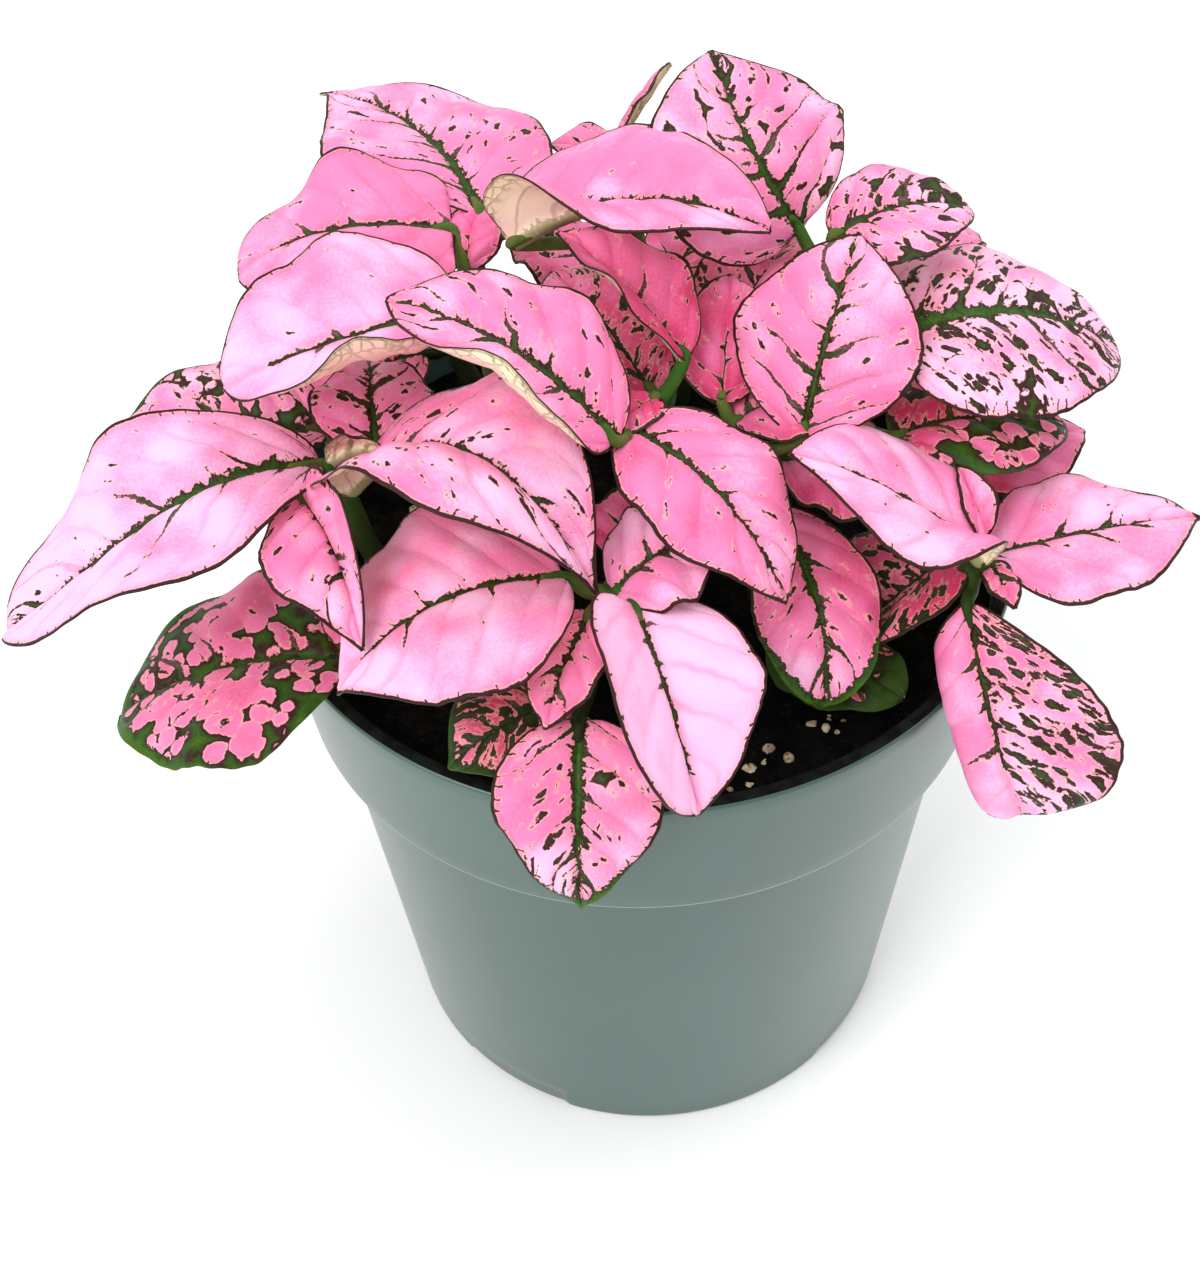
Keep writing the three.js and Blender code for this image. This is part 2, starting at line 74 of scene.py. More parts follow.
# %% Camera
CAMERA_PLACE = (-3.05, -91.9, 135.8)
CAMERA_ELEVATION = 47.41
CAMERA_ROLL = -2.76
CAMERA_LENS = 50.85
CAMERA_SENSOR = 36


def add_camera():
    """A level camera looking along +Y, tipped down by the elevation and rolled about its own axis."""
    camera = bpy.data.objects.new("camera", bpy.data.cameras.new("camera"))
    bpy.context.scene.collection.objects.link(camera)
    camera.data.lens, camera.data.sensor_width = CAMERA_LENS, CAMERA_SENSOR
    camera.data.clip_start, camera.data.clip_end = 0.01, 20
    tip = Matrix.Rotation(math.radians(90 - CAMERA_ELEVATION), 4, "X")
    roll = Matrix.Rotation(math.radians(CAMERA_ROLL), 4, "Z")
    camera.matrix_world = Matrix.Translation(Vector(CAMERA_PLACE) * MM) @ tip @ roll
    bpy.context.scene.camera = camera


add_camera()
print("camera stands", round(Vector(CAMERA_PLACE).length), "mm from the pot's foot")

# %% [markdown]
# ## Light
#
# The plant stands on a bright white table in light that comes from all round, so there are hardly
# any shadows. A white world does most of that. Two large soft lamps from the front left and from
# above give the leaves some shape. The Standard view shows colours as they are chosen.

# %% Light
WORLD_LIGHT = 0.86
LAMPS = {
    "key": dict(place=(-260, -260, 420), width=300, power=1.5),
    "top": dict(place=(180, 120, 480), width=340, power=0.8),
}
LAMP_AIM = (0, 0, 50)


def add_light():
    """A white world, and square lamps that each face the middle of the plant."""
    scene = bpy.context.scene
    scene.view_settings.view_transform = "Standard"
    scene.world = bpy.data.worlds.new("white room")
    scene.world.use_nodes = True
    background = scene.world.node_tree.nodes["Background"]
    background.inputs["Color"].default_value = (1, 1, 1, 1)
    background.inputs["Strength"].default_value = WORLD_LIGHT
    for name, lamp in LAMPS.items():
        light = bpy.data.lights.new(name, "AREA")
        light.energy, light.size = lamp["power"], lamp["width"] * MM
        lamp_object = bpy.data.objects.new(name, light)
        scene.collection.objects.link(lamp_object)
        lamp_object.location = Vector(lamp["place"]) * MM
        towards = Vector(LAMP_AIM) * MM - lamp_object.location
        lamp_object.rotation_euler = towards.to_track_quat("-Z", "Y").to_euler()


add_light()
print("lamps:", ", ".join(LAMPS))

# %% [markdown]
# ## Words for wiring materials
#
# Patterns on a leaf are sums: a vein is where one distance is less than another. Wired by hand,
# each sum is a Math node and the tree gets hard to read. `Field` stands for one number that varies
# over a surface, so that plain arithmetic in the script adds the Math nodes.

# %% Colours
def colour(red, green, blue):
    """A colour as a screen shows it (0 to 255) turned into the linear light that nodes use."""
    share = np.array((red, green, blue)) / 255
    linear = np.where(share <= 0.04045, share / 12.92, ((share + 0.055) / 1.055) ** 2.4)
    return (*linear.tolist(), 1)


print("mid grey is", round(colour(128, 128, 128)[0], 3), "in linear light")

# %% Field: arithmetic that adds nodes
class Field:
    """A number or vector that varies over a surface: the output socket of a node in a tree."""

    def __init__(self, tree, socket):
        self.tree, self.socket = tree, socket

    def node(self, kind, inputs, output=0, **settings):
        """A new node, with its settings and with inputs given by their names or numbers."""
        node = self.tree.nodes.new("ShaderNode" + kind)
        for name, value in settings.items():
            setattr(node, name, value)
        for name, value in inputs.items():
            if isinstance(value, Field):
                self.tree.links.new(value.socket, node.inputs[name])
            else:
                node.inputs[name].default_value = value
        return Field(self.tree, node.outputs[output])

    def math(self, operation, *others):
        """A Math node, with this field as its first number."""
        return self.node("Math", dict(enumerate((self, *others))), operation=operation)

    # Each of these is math with its operation filled in, so that a + b adds a Math node.
    __add__ = __radd__ = partialmethod(math, "ADD")
    __sub__ = partialmethod(math, "SUBTRACT")
    __mul__ = partialmethod(math, "MULTIPLY")
    __truediv__ = partialmethod(math, "DIVIDE")
    power = partialmethod(math, "POWER")
    size = partialmethod(math, "ABSOLUTE")
    fraction = partialmethod(math, "FRACT")
    floor = partialmethod(math, "FLOOR")
    least = partialmethod(math, "MINIMUM")
    most = partialmethod(math, "MAXIMUM")
    above = partialmethod(math, "GREATER_THAN")

    def __rsub__(self, other):
        return self * -1 + other

    def rise(self, low, high):
        """0 at low, 1 at high, and a smooth slope between them; high may be the smaller of the two."""
        return self.node("MapRange", {"Value": self, "From Min": low, "From Max": high},
                         interpolation_type="SMOOTHSTEP")

    def parts(self):
        """The X, Y and Z of a vector."""
        node = self.node("SeparateXYZ", {0: self}).socket.node
        return [Field(self.tree, output) for output in node.outputs]

    def joined(self, y, z):
        """A vector with this field as X."""
        return self.node("CombineXYZ", {0: self, 1: y, 2: z})

    def noise(self, scale, detail=2.0, roughness=0.5):
        """Cloudy noise round 0.5 at this vector place; scale counts its lumps per unit."""
        return self.node("TexNoise", {"Vector": self, "Scale": scale, "Detail": detail,
                                      "Roughness": roughness})

    def shaken(self, scale, amount):
        """This vector place moved about by noise, so that straight or round shapes turn irregular."""
        cloud = self.node("TexNoise", {"Vector": self, "Scale": scale, "Detail": 2.0}, 1)
        shift = self.node("VectorMath", {0: cloud, 1: (-0.5, -0.5, -0.5)}, operation="ADD")
        shift = self.node("VectorMath", {0: shift, "Scale": amount}, operation="SCALE")
        return self.node("VectorMath", {0: self, 1: shift}, operation="ADD")

    def cells(self, scale, feature="F1", output=0):
        """Distance to the nearest of many scattered points, or to the wall between two of them."""
        return self.node("TexVoronoi", {"Vector": self, "Scale": scale}, output, feature=feature)

    def luck(self):
        """One random number from 0 to 1 for each value of this vector."""
        return self.node("TexWhiteNoise", {"Vector": self}, noise_dimensions="3D")

    def tint(self, first, second):
        """A colour that goes from the first to the second as this field goes from 0 to 1."""
        return self.node("Mix", {0: self, 6: first, 7: second}, 2, data_type="RGBA")


print("words:", ", ".join(word for word in vars(Field) if not word.startswith("_") and word != "node"))

# %% [markdown]
# A material is a tree of nodes that ends in one shader. What varies over the surface is wired to
# the shader. What is the same everywhere is typed into the shader's own socket, which is simpler.
# A node group is a tree that several materials share.

# %% Trees, groups and materials
def start(tree, attribute=None):
    """The first field of a tree: a named attribute of the mesh, or the place on the object."""
    seed = Field(tree, None)
    if attribute:
        return seed.node("Attribute", {}, 1, attribute_name=attribute)
    return seed.node("TexCoord", {}, 3)


def new_group(name, inputs, outputs):
    """A shader node group with named number inputs (name: default) and outputs (name: kind).

    It returns the group, its inputs as fields, and a function that sends a field to an output.
    """
    group = bpy.data.node_groups.new(name, "ShaderNodeTree")
    for label, value in inputs.items():
        socket = group.interface.new_socket(label, in_out="INPUT", socket_type="NodeSocketFloat")
        socket.default_value = value
    for label, kind in outputs.items():
        group.interface.new_socket(label, in_out="OUTPUT", socket_type="NodeSocket" + kind)
    entry = group.nodes.new("NodeGroupInput")
    exit_node = group.nodes.new("NodeGroupOutput")
    given = {label: Field(group, entry.outputs[label]) for label in inputs}

    def send(label, field):
        group.links.new(field.socket, exit_node.inputs[label])

    return group, given, send


def new_material(name, look, bump, **constants):
    """A material whose shader takes linked fields (look) and constants, each set on its socket.

    look(tree) returns the fields for Base Color and so on, and the height of the relief as
    "Height". bump gives the relief's strength and its height in mm.
    """
    material = bpy.data.materials.new(name)
    material.use_nodes = True
    tree = material.node_tree
    shader = tree.nodes["Principled BSDF"]
    for label, value in constants.items():
        shader.inputs[label.replace("_", " ")].default_value = value
    fields = look(tree)
    height = fields.pop("Height", None)
    if height:
        strength, distance = bump
        fields["Normal"] = height.node("Bump", {"Height": height, "Strength": strength,
                                                "Distance": distance * MM})
    for label, field in fields.items():
        tree.links.new(field.socket, shader.inputs[label])
    return material


print("helpers for materials are ready")

# %% [markdown]
# ## Floor
#
# A plain white sheet, far larger than the picture, catches the faint shadow beside the pot. It is
# only a stage, so it isn't part of the object. Its faint mottling keeps it from looking empty.

# %% Floor
FLOOR_SIZE = 3000


def floor_look(tree):
    """Two whites that are almost the same, in slow clouds."""
    cloud = start(tree).noise(6, 2)
    return {"Base Color": cloud.rise(0.3, 0.7).tint(colour(250, 251, 252), colour(254, 254, 254))}


def add_floor():
    """One square, marked as stage."""
    half = FLOOR_SIZE / 2 * MM
    mesh = bpy.data.meshes.new("floor")
    mesh.from_pydata([(-half, -half, 0), (half, -half, 0), (half, half, 0), (-half, half, 0)], [],
                     [(0, 1, 2, 3)])
    mesh.materials.append(new_material("white table", floor_look, None, Roughness=0.9))
    floor = bpy.data.objects.new("floor", mesh)
    bpy.context.scene.collection.objects.link(floor)
    floor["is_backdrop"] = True


add_floor()
print("floor:", FLOOR_SIZE, "mm square")

# %% [markdown]
# ## Surfaces from grids
#
# Every new piece is worked out as a grid of points by a formula, with whole arrays at once. A
# closed piece is one or more such grids whose edges meet. The helpers below number the corners of
# a grid's squares, turn a profile round an axis, and make smooth random hills.

# %% Grids
LATTICE = 64


def squares(rows, columns, around=False):
    """The corner numbers of a grid's squares; with around, the last column meets the first."""
    i = np.arange(rows - 1)[:, None] * columns
    j = np.arange(columns if around else columns - 1)[None, :]
    k = (j + 1) % columns
    return np.stack([i + j, i + k, i + columns + k, i + columns + j], -1).reshape(-1, 4)


def unit(vectors):
    """The same directions with length 1."""
    return vectors / np.maximum(np.linalg.norm(vectors, axis=-1, keepdims=True), 1e-12)


def turned(profile, columns):
    """The points (radius, height) of a profile turned round the Z axis, as rows of a grid."""
    radius, height = np.asarray(profile, float).T[:, :, None]
    angle = np.linspace(0, 2 * np.pi, columns, endpoint=False)[None, :]
    return np.stack(np.broadcast_arrays(radius * np.cos(angle), radius * np.sin(angle), height), -1)


def lattice_noise(x, y, cell, seed):
    """Smooth random hills: a random height at each corner of a square lattice, eased between them."""
    table = np.random.default_rng(seed).random((LATTICE, LATTICE)) * 2 - 1
    i, j = np.floor(x / cell).astype(int), np.floor(y / cell).astype(int)
    s, t = x / cell - i, y / cell - j
    s, t = s * s * (3 - 2 * s), t * t * (3 - 2 * t)
    i, next_i, j, next_j = i % LATTICE, (i + 1) % LATTICE, j % LATTICE, (j + 1) % LATTICE
    near = table[i, j] * (1 - s) + table[next_i, j] * s
    far = table[i, next_j] * (1 - s) + table[next_i, next_j] * s
    return near * (1 - t) + far * t


print("a grid of 3 by 3 points has", len(squares(3, 3)), "squares")

# %% [markdown]
# A piece gathers several such surfaces. Besides points and faces it carries named attributes:
# values at each point that the materials read, such as how far the point is from the leaf's edge.

# %% Shape: surfaces gathered into one mesh
class Shape:
    """Points in mm, with faces and per-point attributes, gathered from several surfaces."""

    def __init__(self):
        self.points, self.faces, self.slots, self.extra, self.count = [], [], [], {}, 0

    def add(self, points, faces, slot=0, **attributes):
        """Adds points (any array ending in 3) and a list of face arrays numbered within them.

        Points of a surface that is given without an attribute have 0 there.
        """
        points = np.asarray(points, float).reshape(-1, 3)
        for some in faces:
            self.add_faces(np.asarray(some) + self.count, slot)
        for name in dict.fromkeys([*self.extra, *attributes]):
            values = attributes.get(name, np.zeros((len(points), 3)))
            earlier = self.extra.setdefault(name, [np.zeros((self.count, 3))])
            earlier.append(np.broadcast_to(np.asarray(values, float), (len(points), 3)))
        self.points.append(points)
        self.count += len(points)

    def add_faces(self, faces, slot):
        """Adds faces by the numbers of points that are there already."""
        self.faces += faces.tolist()
        self.slots += [slot] * len(faces)

    def piece(self, name, materials, node, slot):
        """The finished object: it rides on the one body, and where node is given it replaces that solid."""
        mesh = bpy.data.meshes.new(name)
        mesh.from_pydata((np.concatenate(self.points) * MM).tolist(), [], self.faces)
        for material in materials:
            mesh.materials.append(material)
        mesh.polygons.foreach_set("material_index", self.slots)
        mesh.polygons.foreach_set("use_smooth", [True] * len(self.faces))
        for label, values in self.extra.items():
            layer = mesh.attributes.new(label, "FLOAT_VECTOR", "POINT")
            layer.data.foreach_set("vector", np.concatenate(values).astype(np.float32).ravel())
        mesh.update()
        shown = bpy.data.objects.new(name, mesh)
        bpy.context.scene.collection.objects.link(shown)
        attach(shown, "root")
        if node:
            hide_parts(node)
        print(f"{name}: {sum(len(face) - 2 for face in self.faces)} triangles")


print("helpers for meshes are ready")

# %% [markdown]
# ## Shared finishes
#
# Moulded plastic, peat and stems all have a fine grain that breaks up the light. It is one node
# group, used with other values in each material.

# %% Grain
def grain_group():
    """Fine and coarse noise added up, from the place on the object in metres."""
    group, given, send = new_group(
        "Grain", {"Fine per mm": 4.0, "Coarse per mm": 0.3, "Coarse share": 0.3},
        {"Height": "Float", "Cloud": "Float"})
    place = start(group)
    fine = place.noise(given["Fine per mm"] * 1000, 3, 0.6)
    coarse = place.noise(given["Coarse per mm"] * 1000, 3)
    send("Height", fine + coarse * given["Coarse share"])
    send("Cloud", coarse)
    return group


GRAIN = grain_group()


def grain(tree, fine, coarse, share):
    """The grain's height and its slow cloud, with these values."""
    node = tree.nodes.new("ShaderNodeGroup")
    node.node_tree = GRAIN
    for label, value in (("Fine per mm", fine), ("Coarse per mm", coarse), ("Coarse share", share)):
        node.inputs[label].default_value = value
    return Field(tree, node.outputs["Height"]), Field(tree, node.outputs["Cloud"])


print("grain group:", len(GRAIN.nodes), "nodes")

# %% [markdown]
# ## The pot
#
# The pot is one thin piece of grey-green plastic, formed in a steel mould. It has a wall that
# tapers, a plain collar band with a small step under it, and a flat narrow lip. Its bottom edge is
# cut away in four low slots so that water can drain. A box or a cylinder pushed into shape would
# need many cuts, so the wall is drawn as a closed profile and turned round the axis.

# %% Pot profile
POT_HEIGHT = 48.6
RIM_RADIUS = 26.0
BAND_HEIGHT = 11.7
BAND_FOOT_RADIUS = 24.9
WALL_TOP_RADIUS = 23.4
BASE_RADIUS = 20.3
WALL = 1.0
BAND_FOOT = POT_HEIGHT - BAND_HEIGHT
POT_FLOOR = 1.2
FOOT_ROUND = 0.5
STEP_ROUND = 0.35
BAND_ROUND = 0.25
LIP_ROUND = 0.2

SLOT_HEIGHT = 0.9
SLOT_INNER = BASE_RADIUS - 3.4
SLOT_HOLE = SLOT_INNER + 1.6


def arc(centre, radius, first, last, steps):
    """Points (radius, height) on part of a circle, between two angles in degrees."""
    angle = np.radians(np.linspace(first, last, steps))
    return [(centre[0] + radius * np.cos(a), centre[1] + radius * np.sin(a)) for a in angle]


def line(first, last, steps):
    """Points (radius, height) on a straight line, without its ends."""
    share = np.linspace(0, 1, steps + 2)[1:-1, None]
    return [tuple(p) for p in np.array(first) * (1 - share) + np.array(last) * share]


def pot_profile():
    """The closed section of the pot's wall, from the middle of its underside round to its floor."""
    under = [(1, 0), (6, 0), (12, 0), (SLOT_INNER - 0.02, 0), (SLOT_INNER, 0), (SLOT_HOLE, 0)]
    foot = arc((BASE_RADIUS - FOOT_ROUND, FOOT_ROUND), FOOT_ROUND, -90, 0, 6)
    wall = line((BASE_RADIUS, FOOT_ROUND), (WALL_TOP_RADIUS, BAND_FOOT), 24)
    wall[0] = (BASE_RADIUS + 0.02, SLOT_HEIGHT + 0.02)
    step = arc((WALL_TOP_RADIUS + STEP_ROUND, BAND_FOOT - STEP_ROUND), STEP_ROUND, 180, 90, 4)
    band_foot = arc((BAND_FOOT_RADIUS - BAND_ROUND, BAND_FOOT + BAND_ROUND), BAND_ROUND, -90, 0, 5)
    band = line((BAND_FOOT_RADIUS, BAND_FOOT + BAND_ROUND), (RIM_RADIUS, POT_HEIGHT - BAND_ROUND), 8)
    lip = (arc((RIM_RADIUS - BAND_ROUND, POT_HEIGHT - BAND_ROUND), BAND_ROUND, 0, 90, 5)
           + arc((RIM_RADIUS - WALL + LIP_ROUND, POT_HEIGHT - LIP_ROUND), LIP_ROUND, 90, 180, 4))
    inside = [(BAND_FOOT_RADIUS - WALL, BAND_FOOT + WALL), (WALL_TOP_RADIUS - WALL, BAND_FOOT),
              (BASE_RADIUS - WALL + 0.1, POT_FLOOR)]
    floor = [(SLOT_HOLE, POT_FLOOR), (SLOT_INNER, POT_FLOOR), (12, POT_FLOOR), (6, POT_FLOOR),
             (1, POT_FLOOR)]
    return np.array(under + foot + wall + step + band_foot + band + lip + inside + floor)


print("pot profile:", len(pot_profile()), "points")

# %% [markdown]
# The slots are the only thing about the pot that isn't round. The points of the bottom edge are
# lifted there, and the squares at each slot's inner end are left out and joined by walls, which
# makes the drain holes. A boolean cut would do the same, but leaves long thin faces on a fine mesh.

# %% Pot with its slots
POT_COLUMNS = 288
SLOT_COUNT = 4
SLOT_FIRST_ANGLE = -125.5
SLOT_WIDTH_ANGLE = 27.0


def in_slot(angle):
    """True where an angle in degrees lies within a drain slot."""
    turn = 360 / SLOT_COUNT
    offset = (angle - SLOT_FIRST_ANGLE + turn / 2) % turn - turn / 2
    return np.abs(offset) <= SLOT_WIDTH_ANGLE / 2


def make_pot():
    """The turned profile with its slots; the top and the inner side of the lip have a dark material of
    their own, which is painted shade.
    """
    profile = pot_profile()
    rows = len(profile)
    radius, height = profile[:, 0], profile[:, 1]
    cut = in_slot(np.arange(POT_COLUMNS) * 360 / POT_COLUMNS)
    points = turned(profile, POT_COLUMNS)
    low = (radius > SLOT_INNER - 0.01) & (height < SLOT_HEIGHT)
    points[..., 2] = np.where(low[:, None] & cut[None, :], SLOT_HEIGHT, points[..., 2])

    # The hole leaves out one row of squares in the underside and one in the floor.
    faces = squares(rows, POT_COLUMNS, around=True).reshape(rows - 1, POT_COLUMNS, 4)
    hole = cut & np.roll(cut, -1)
    lower = int(np.argmax(radius > SLOT_INNER - 0.01))
    upper = rows - 1 - int(np.argmax(radius[::-1] > SLOT_HOLE - 0.01))
    keep = np.ones((rows - 1, POT_COLUMNS), bool)
    keep[[lower, upper]] = ~hole
    # Painted shade: the flat top of the lip and its inner rounding get a dark material of their own.
    painted_shade_lip = (radius[1:] < RIM_RADIUS - 0.2) & (height[1:] > POT_HEIGHT - 0.3)
    keep[painted_shade_lip] = False

    def at(row, column):
        return row * POT_COLUMNS + column

    def side(column):
        return np.stack([at(lower + 1, column), at(lower, column), at(upper + 1, column),
                         at(upper, column)], -1)

    column = np.flatnonzero(hole)
    after = (column + 1) % POT_COLUMNS
    inner = np.stack([at(lower, column), at(lower, after), at(upper + 1, after),
                      at(upper + 1, column)], -1)
    outer = np.stack([at(lower + 1, after), at(lower + 1, column), at(upper, column),
                      at(upper, after)], -1)
    first = np.flatnonzero(hole & ~np.roll(hole, 1))
    last = (np.flatnonzero(hole & ~np.roll(hole, -1)) + 1) % POT_COLUMNS
    ring = np.arange(POT_COLUMNS)
    caps = np.stack([ring[::-1], at(rows - 1, ring)])
    shape = Shape()
    shape.add(points, [faces[keep], inner, outer, side(first), side(last)[:, ::-1], caps])
    shape.add_faces(faces[painted_shade_lip].reshape(-1, 4), 1)
    return shape


print(SLOT_COUNT, "drain slots take up", round(in_slot(np.arange(360)).mean() * 100), "% of the edge")

# %% [markdown]
# The plastic is satin: it mirrors the white room faintly, more towards its sides, and a very fine
# grain keeps it from looking wet. The step under the band carries a thin pale line, which is a
# painted highlight, and the wall has slow, faint changes of tone. The top and the inner side of the
# lip are painted almost black and matt, as painted shade.

# %% Pot materials
def pot_look(tree):
    """Two close grey-greens in slow clouds, and a thin pale line at the foot of the band, which is a
    painted highlight.
    """
    height, cloud = grain(tree, 5.0, 0.04, 0.4)
    level = start(tree).parts()[2] / MM
    tone = cloud.rise(0.35, 0.65).tint(colour(46, 77, 70), colour(53, 85, 78))
    # Painted highlight: a thin pale line at the foot of the band.
    painted_highlight_line = (0.2 - (level - BAND_FOOT - 0.1).size()).rise(0, 0.15) * 0.6
    tone = painted_highlight_line.tint(tone, colour(190, 205, 198))
    return {"Base Color": tone, "Roughness": cloud * 0.12 + 0.26, "Height": height}


def painted_shade_lip_look(tree):
    """Painted shade on the lip: almost black, with the green of the pot showing through in spots."""
    height, cloud = grain(tree, 4.0, 0.8, 0.6)
    tone = cloud.rise(0.4, 0.6).tint(colour(8, 9, 8), colour(20, 26, 24))
    return {"Base Color": tone, "Height": height}


POT_PLASTIC = new_material("satin grey-green plastic", pot_look, bump=(0.12, 0.05),
                           Specular_IOR_Level=0.5, Coat_Weight=0.35, Coat_Roughness=0.3)
# The lip's dark material is painted shade.
PAINTED_SHADE_LIP = new_material("lip in painted shade", painted_shade_lip_look, bump=(0.3, 0.1), Roughness=0.8,
                         Specular_IOR_Level=0.1)
make_pot().piece("nursery_pot", [POT_PLASTIC, PAINTED_SHADE_LIP], "pot", "pot")

# %% [markdown]
# ## The soil
#
# Potting soil is peat: dark, crumbly and a little fibrous, with grains of white perlite mixed in
# to hold air. Thousands of loose grains would be slow to render and to print. Its top is a round
# grid lifted by several sizes of random hills instead, which reads as crumbs.

# %% Soil surface
SOIL_CLEARANCE = 0.15
SOIL_EDGE_DEPTH = 3.0
SOIL_EDGE = POT_HEIGHT - SOIL_EDGE_DEPTH
SOIL_CROWN = 0.5
BAND_TAPER = (RIM_RADIUS - BAND_FOOT_RADIUS) / BAND_HEIGHT
SOIL_RADIUS = RIM_RADIUS - WALL - SOIL_CLEARANCE - BAND_TAPER * SOIL_EDGE_DEPTH
SOIL_BOTTOM = POT_FLOOR + 0.3
SOIL_ROWS, SOIL_COLUMNS = 110, 330
SOIL_HILLS = ((5, 0.35), (2.4, 0.3), (1.1, 0.22), (0.5, 0.12))
HILLS_START = 90


def soil_height(x, y):
    """The crumbly top: a low dome plus hills of several widths and heights, lower at the wall."""
    inward = np.clip(1 - np.hypot(x, y) / SOIL_RADIUS, 0, 1)
    hills = sum(height * lattice_noise(x + HILLS_START, y + HILLS_START, width, seed)
                for seed, (width, height) in enumerate(SOIL_HILLS, 1))
    return SOIL_EDGE + SOIL_CROWN * inward + hills * np.minimum(1, 0.3 + 6 * inward)


def make_soil():
    """A plug with the pot's inner shape: a turned wall, and rings that shrink over the top."""
    wall = [(1, SOIL_BOTTOM), (BASE_RADIUS - WALL - 0.2, SOIL_BOTTOM),
            (WALL_TOP_RADIUS - WALL - SOIL_CLEARANCE, BAND_FOOT),
            (BAND_FOOT_RADIUS - WALL - SOIL_CLEARANCE, BAND_FOOT + WALL + SOIL_CLEARANCE)]
    top = [(SOIL_RADIUS * r, SOIL_EDGE) for r in np.linspace(1, 0.006, SOIL_ROWS)]
    points = turned(wall + top, SOIL_COLUMNS)
    surface = points[len(wall):]
    surface[..., 2] = soil_height(surface[..., 0], surface[..., 1])
    rows = len(points)
    ring = np.arange(SOIL_COLUMNS)
    shape = Shape()
    shape.add(points, [squares(rows, SOIL_COLUMNS, around=True),
                       np.stack([ring[::-1], (rows - 1) * SOIL_COLUMNS + ring])])
    return shape


print(f"soil: {2 * SOIL_RADIUS:.1f} mm across, {POT_HEIGHT - soil_height(0, 0):.1f} mm under the rim")

# %% [markdown]
# Separate lumps lie on top, dark crumbs and pale perlite. Each starts as a ball that random planes
# cut flat, like crushed stone. A ball of triangles of one size bends evenly all round, and it is
# the same small mesh for every lump, so hundreds of them stay light.

# %% Lumps
LUMP_CUTS = 6
LUMP_CUT_FROM = 0.62


def round_ball():
    """A ball of 20 triangles, from the corners of three crossed golden rectangles."""
    golden = (1 + 5 ** 0.5) / 2
    corners = np.array([(0, s, t * golden) for s in (-1, 1) for t in (-1, 1)])
    points = unit(np.concatenate([corners, corners[:, [2, 0, 1]], corners[:, [1, 2, 0]]]))
    gap = np.linalg.norm(points[:, None] - points[None], axis=-1)
    near = (gap < gap[gap > 0.1].min() * 1.01) & (gap > 0.1)
    i, j, k = np.meshgrid(*[np.arange(12)] * 3, indexing="ij")
    found = (i < j) & (j < k) & near[i, j] & near[j, k] & near[i, k]
    faces = np.stack([i[found], j[found], k[found]], -1)
    a, b, c = points[faces].transpose(1, 0, 2)
    inward = np.sum(np.cross(b - a, c - a) * a, -1) < 0
    faces[inward] = faces[inward][:, ::-1]
    return points, faces


def finer(points, faces):
    """Each triangle cut into four, with the new corners pushed out to the ball."""
    a, b, c = points[faces].transpose(1, 0, 2)
    corners = np.stack([a, unit(a + b), b, unit(b + c), c, unit(c + a)], 1).reshape(-1, 3)
    base = np.arange(len(faces))[:, None, None] * 6
    pattern = np.array([[0, 1, 5], [1, 2, 3], [5, 3, 4], [1, 3, 5]])
    merged, back = np.unique(corners.round(6), axis=0, return_inverse=True)
    return merged, back.reshape(-1)[(base + pattern).reshape(-1, 3)]


def scatter_lumps(shape, places, sizes, ball, rough, seed):
    """Copies of a ball at many places at once, each stretched, cut off and dented at random.

    Each lump is cut by a few random planes, which gives it the broken faces of crushed stone.
    """
    rng = np.random.default_rng(seed)
    points, faces = ball
    count = len(places)
    stretch = rng.uniform(0.65, 1.15, (count, 1, 3)) * np.asarray(sizes)[:, None, None]
    planes = unit(rng.normal(size=(count, LUMP_CUTS, 3)))
    beyond = np.maximum(points @ planes.transpose(0, 2, 1) - LUMP_CUT_FROM, 0).max(-1)
    dents = (1 - beyond * 0.9 + rough * rng.normal(size=beyond.shape))[..., None]
    lumps = points[None] * stretch * dents + np.asarray(places)[:, None]
    numbers = faces[None] + np.arange(count)[:, None, None] * len(points)
    shape.add(lumps, [numbers.reshape(-1, 3)])


print("balls of", len(round_ball()[1]), "and", len(finer(*round_ball())[1]), "triangles")

# %% [markdown]
# Damp peat is almost black. It has browner patches, which are a little less matt, and small lighter
# flecks of fibre. The perlite is chalky, stained tan by the peat, and full of small dark pores.

# %% Soil materials
def peat_look(tree):
    """Black with dark brown patches, and small lighter flecks of fibre."""
    height, cloud = grain(tree, 3.0, 0.6, 0.8)
    brown = cloud.rise(0.35, 0.7)
    fleck = start(tree).noise(2600, 4, 0.7).rise(0.6, 0.68)
    tone = fleck.tint(brown.tint(colour(3, 3, 3), colour(14, 12, 11)), colour(46, 38, 28))
    return {"Base Color": tone, "Roughness": 0.95 - brown * 0.15, "Height": height}


def perlite_look(tree):
    """Tan to off-white, with brown pits; the pits are also low in the relief."""
    height, cloud = grain(tree, 4.0, 0.9, 0.6)
    pores = start(tree).cells(2500).rise(0.12, 0.35)
    tone = cloud.rise(0.3, 0.7).tint(colour(140, 112, 80), colour(226, 210, 180))
    return {"Base Color": pores.tint(colour(80, 62, 46), tone), "Height": height + pores * 0.5}


PEAT = new_material("damp dark peat", peat_look, bump=(0.6, 0.25), Specular_IOR_Level=0.08)
PERLITE = new_material("tan perlite", perlite_look, bump=(0.5, 0.15), Roughness=0.9)
print("soil materials:", PEAT.name, "and", PERLITE.name)

# %% [markdown]
# The soil is three pieces. The plug takes the place of the solid soil, and the crumbs and the
# perlite lie on it, sunk in a little. Perlite shows between the leaves at the front right, so some
# grains are placed there, and the others are strewn at random like the crumbs.

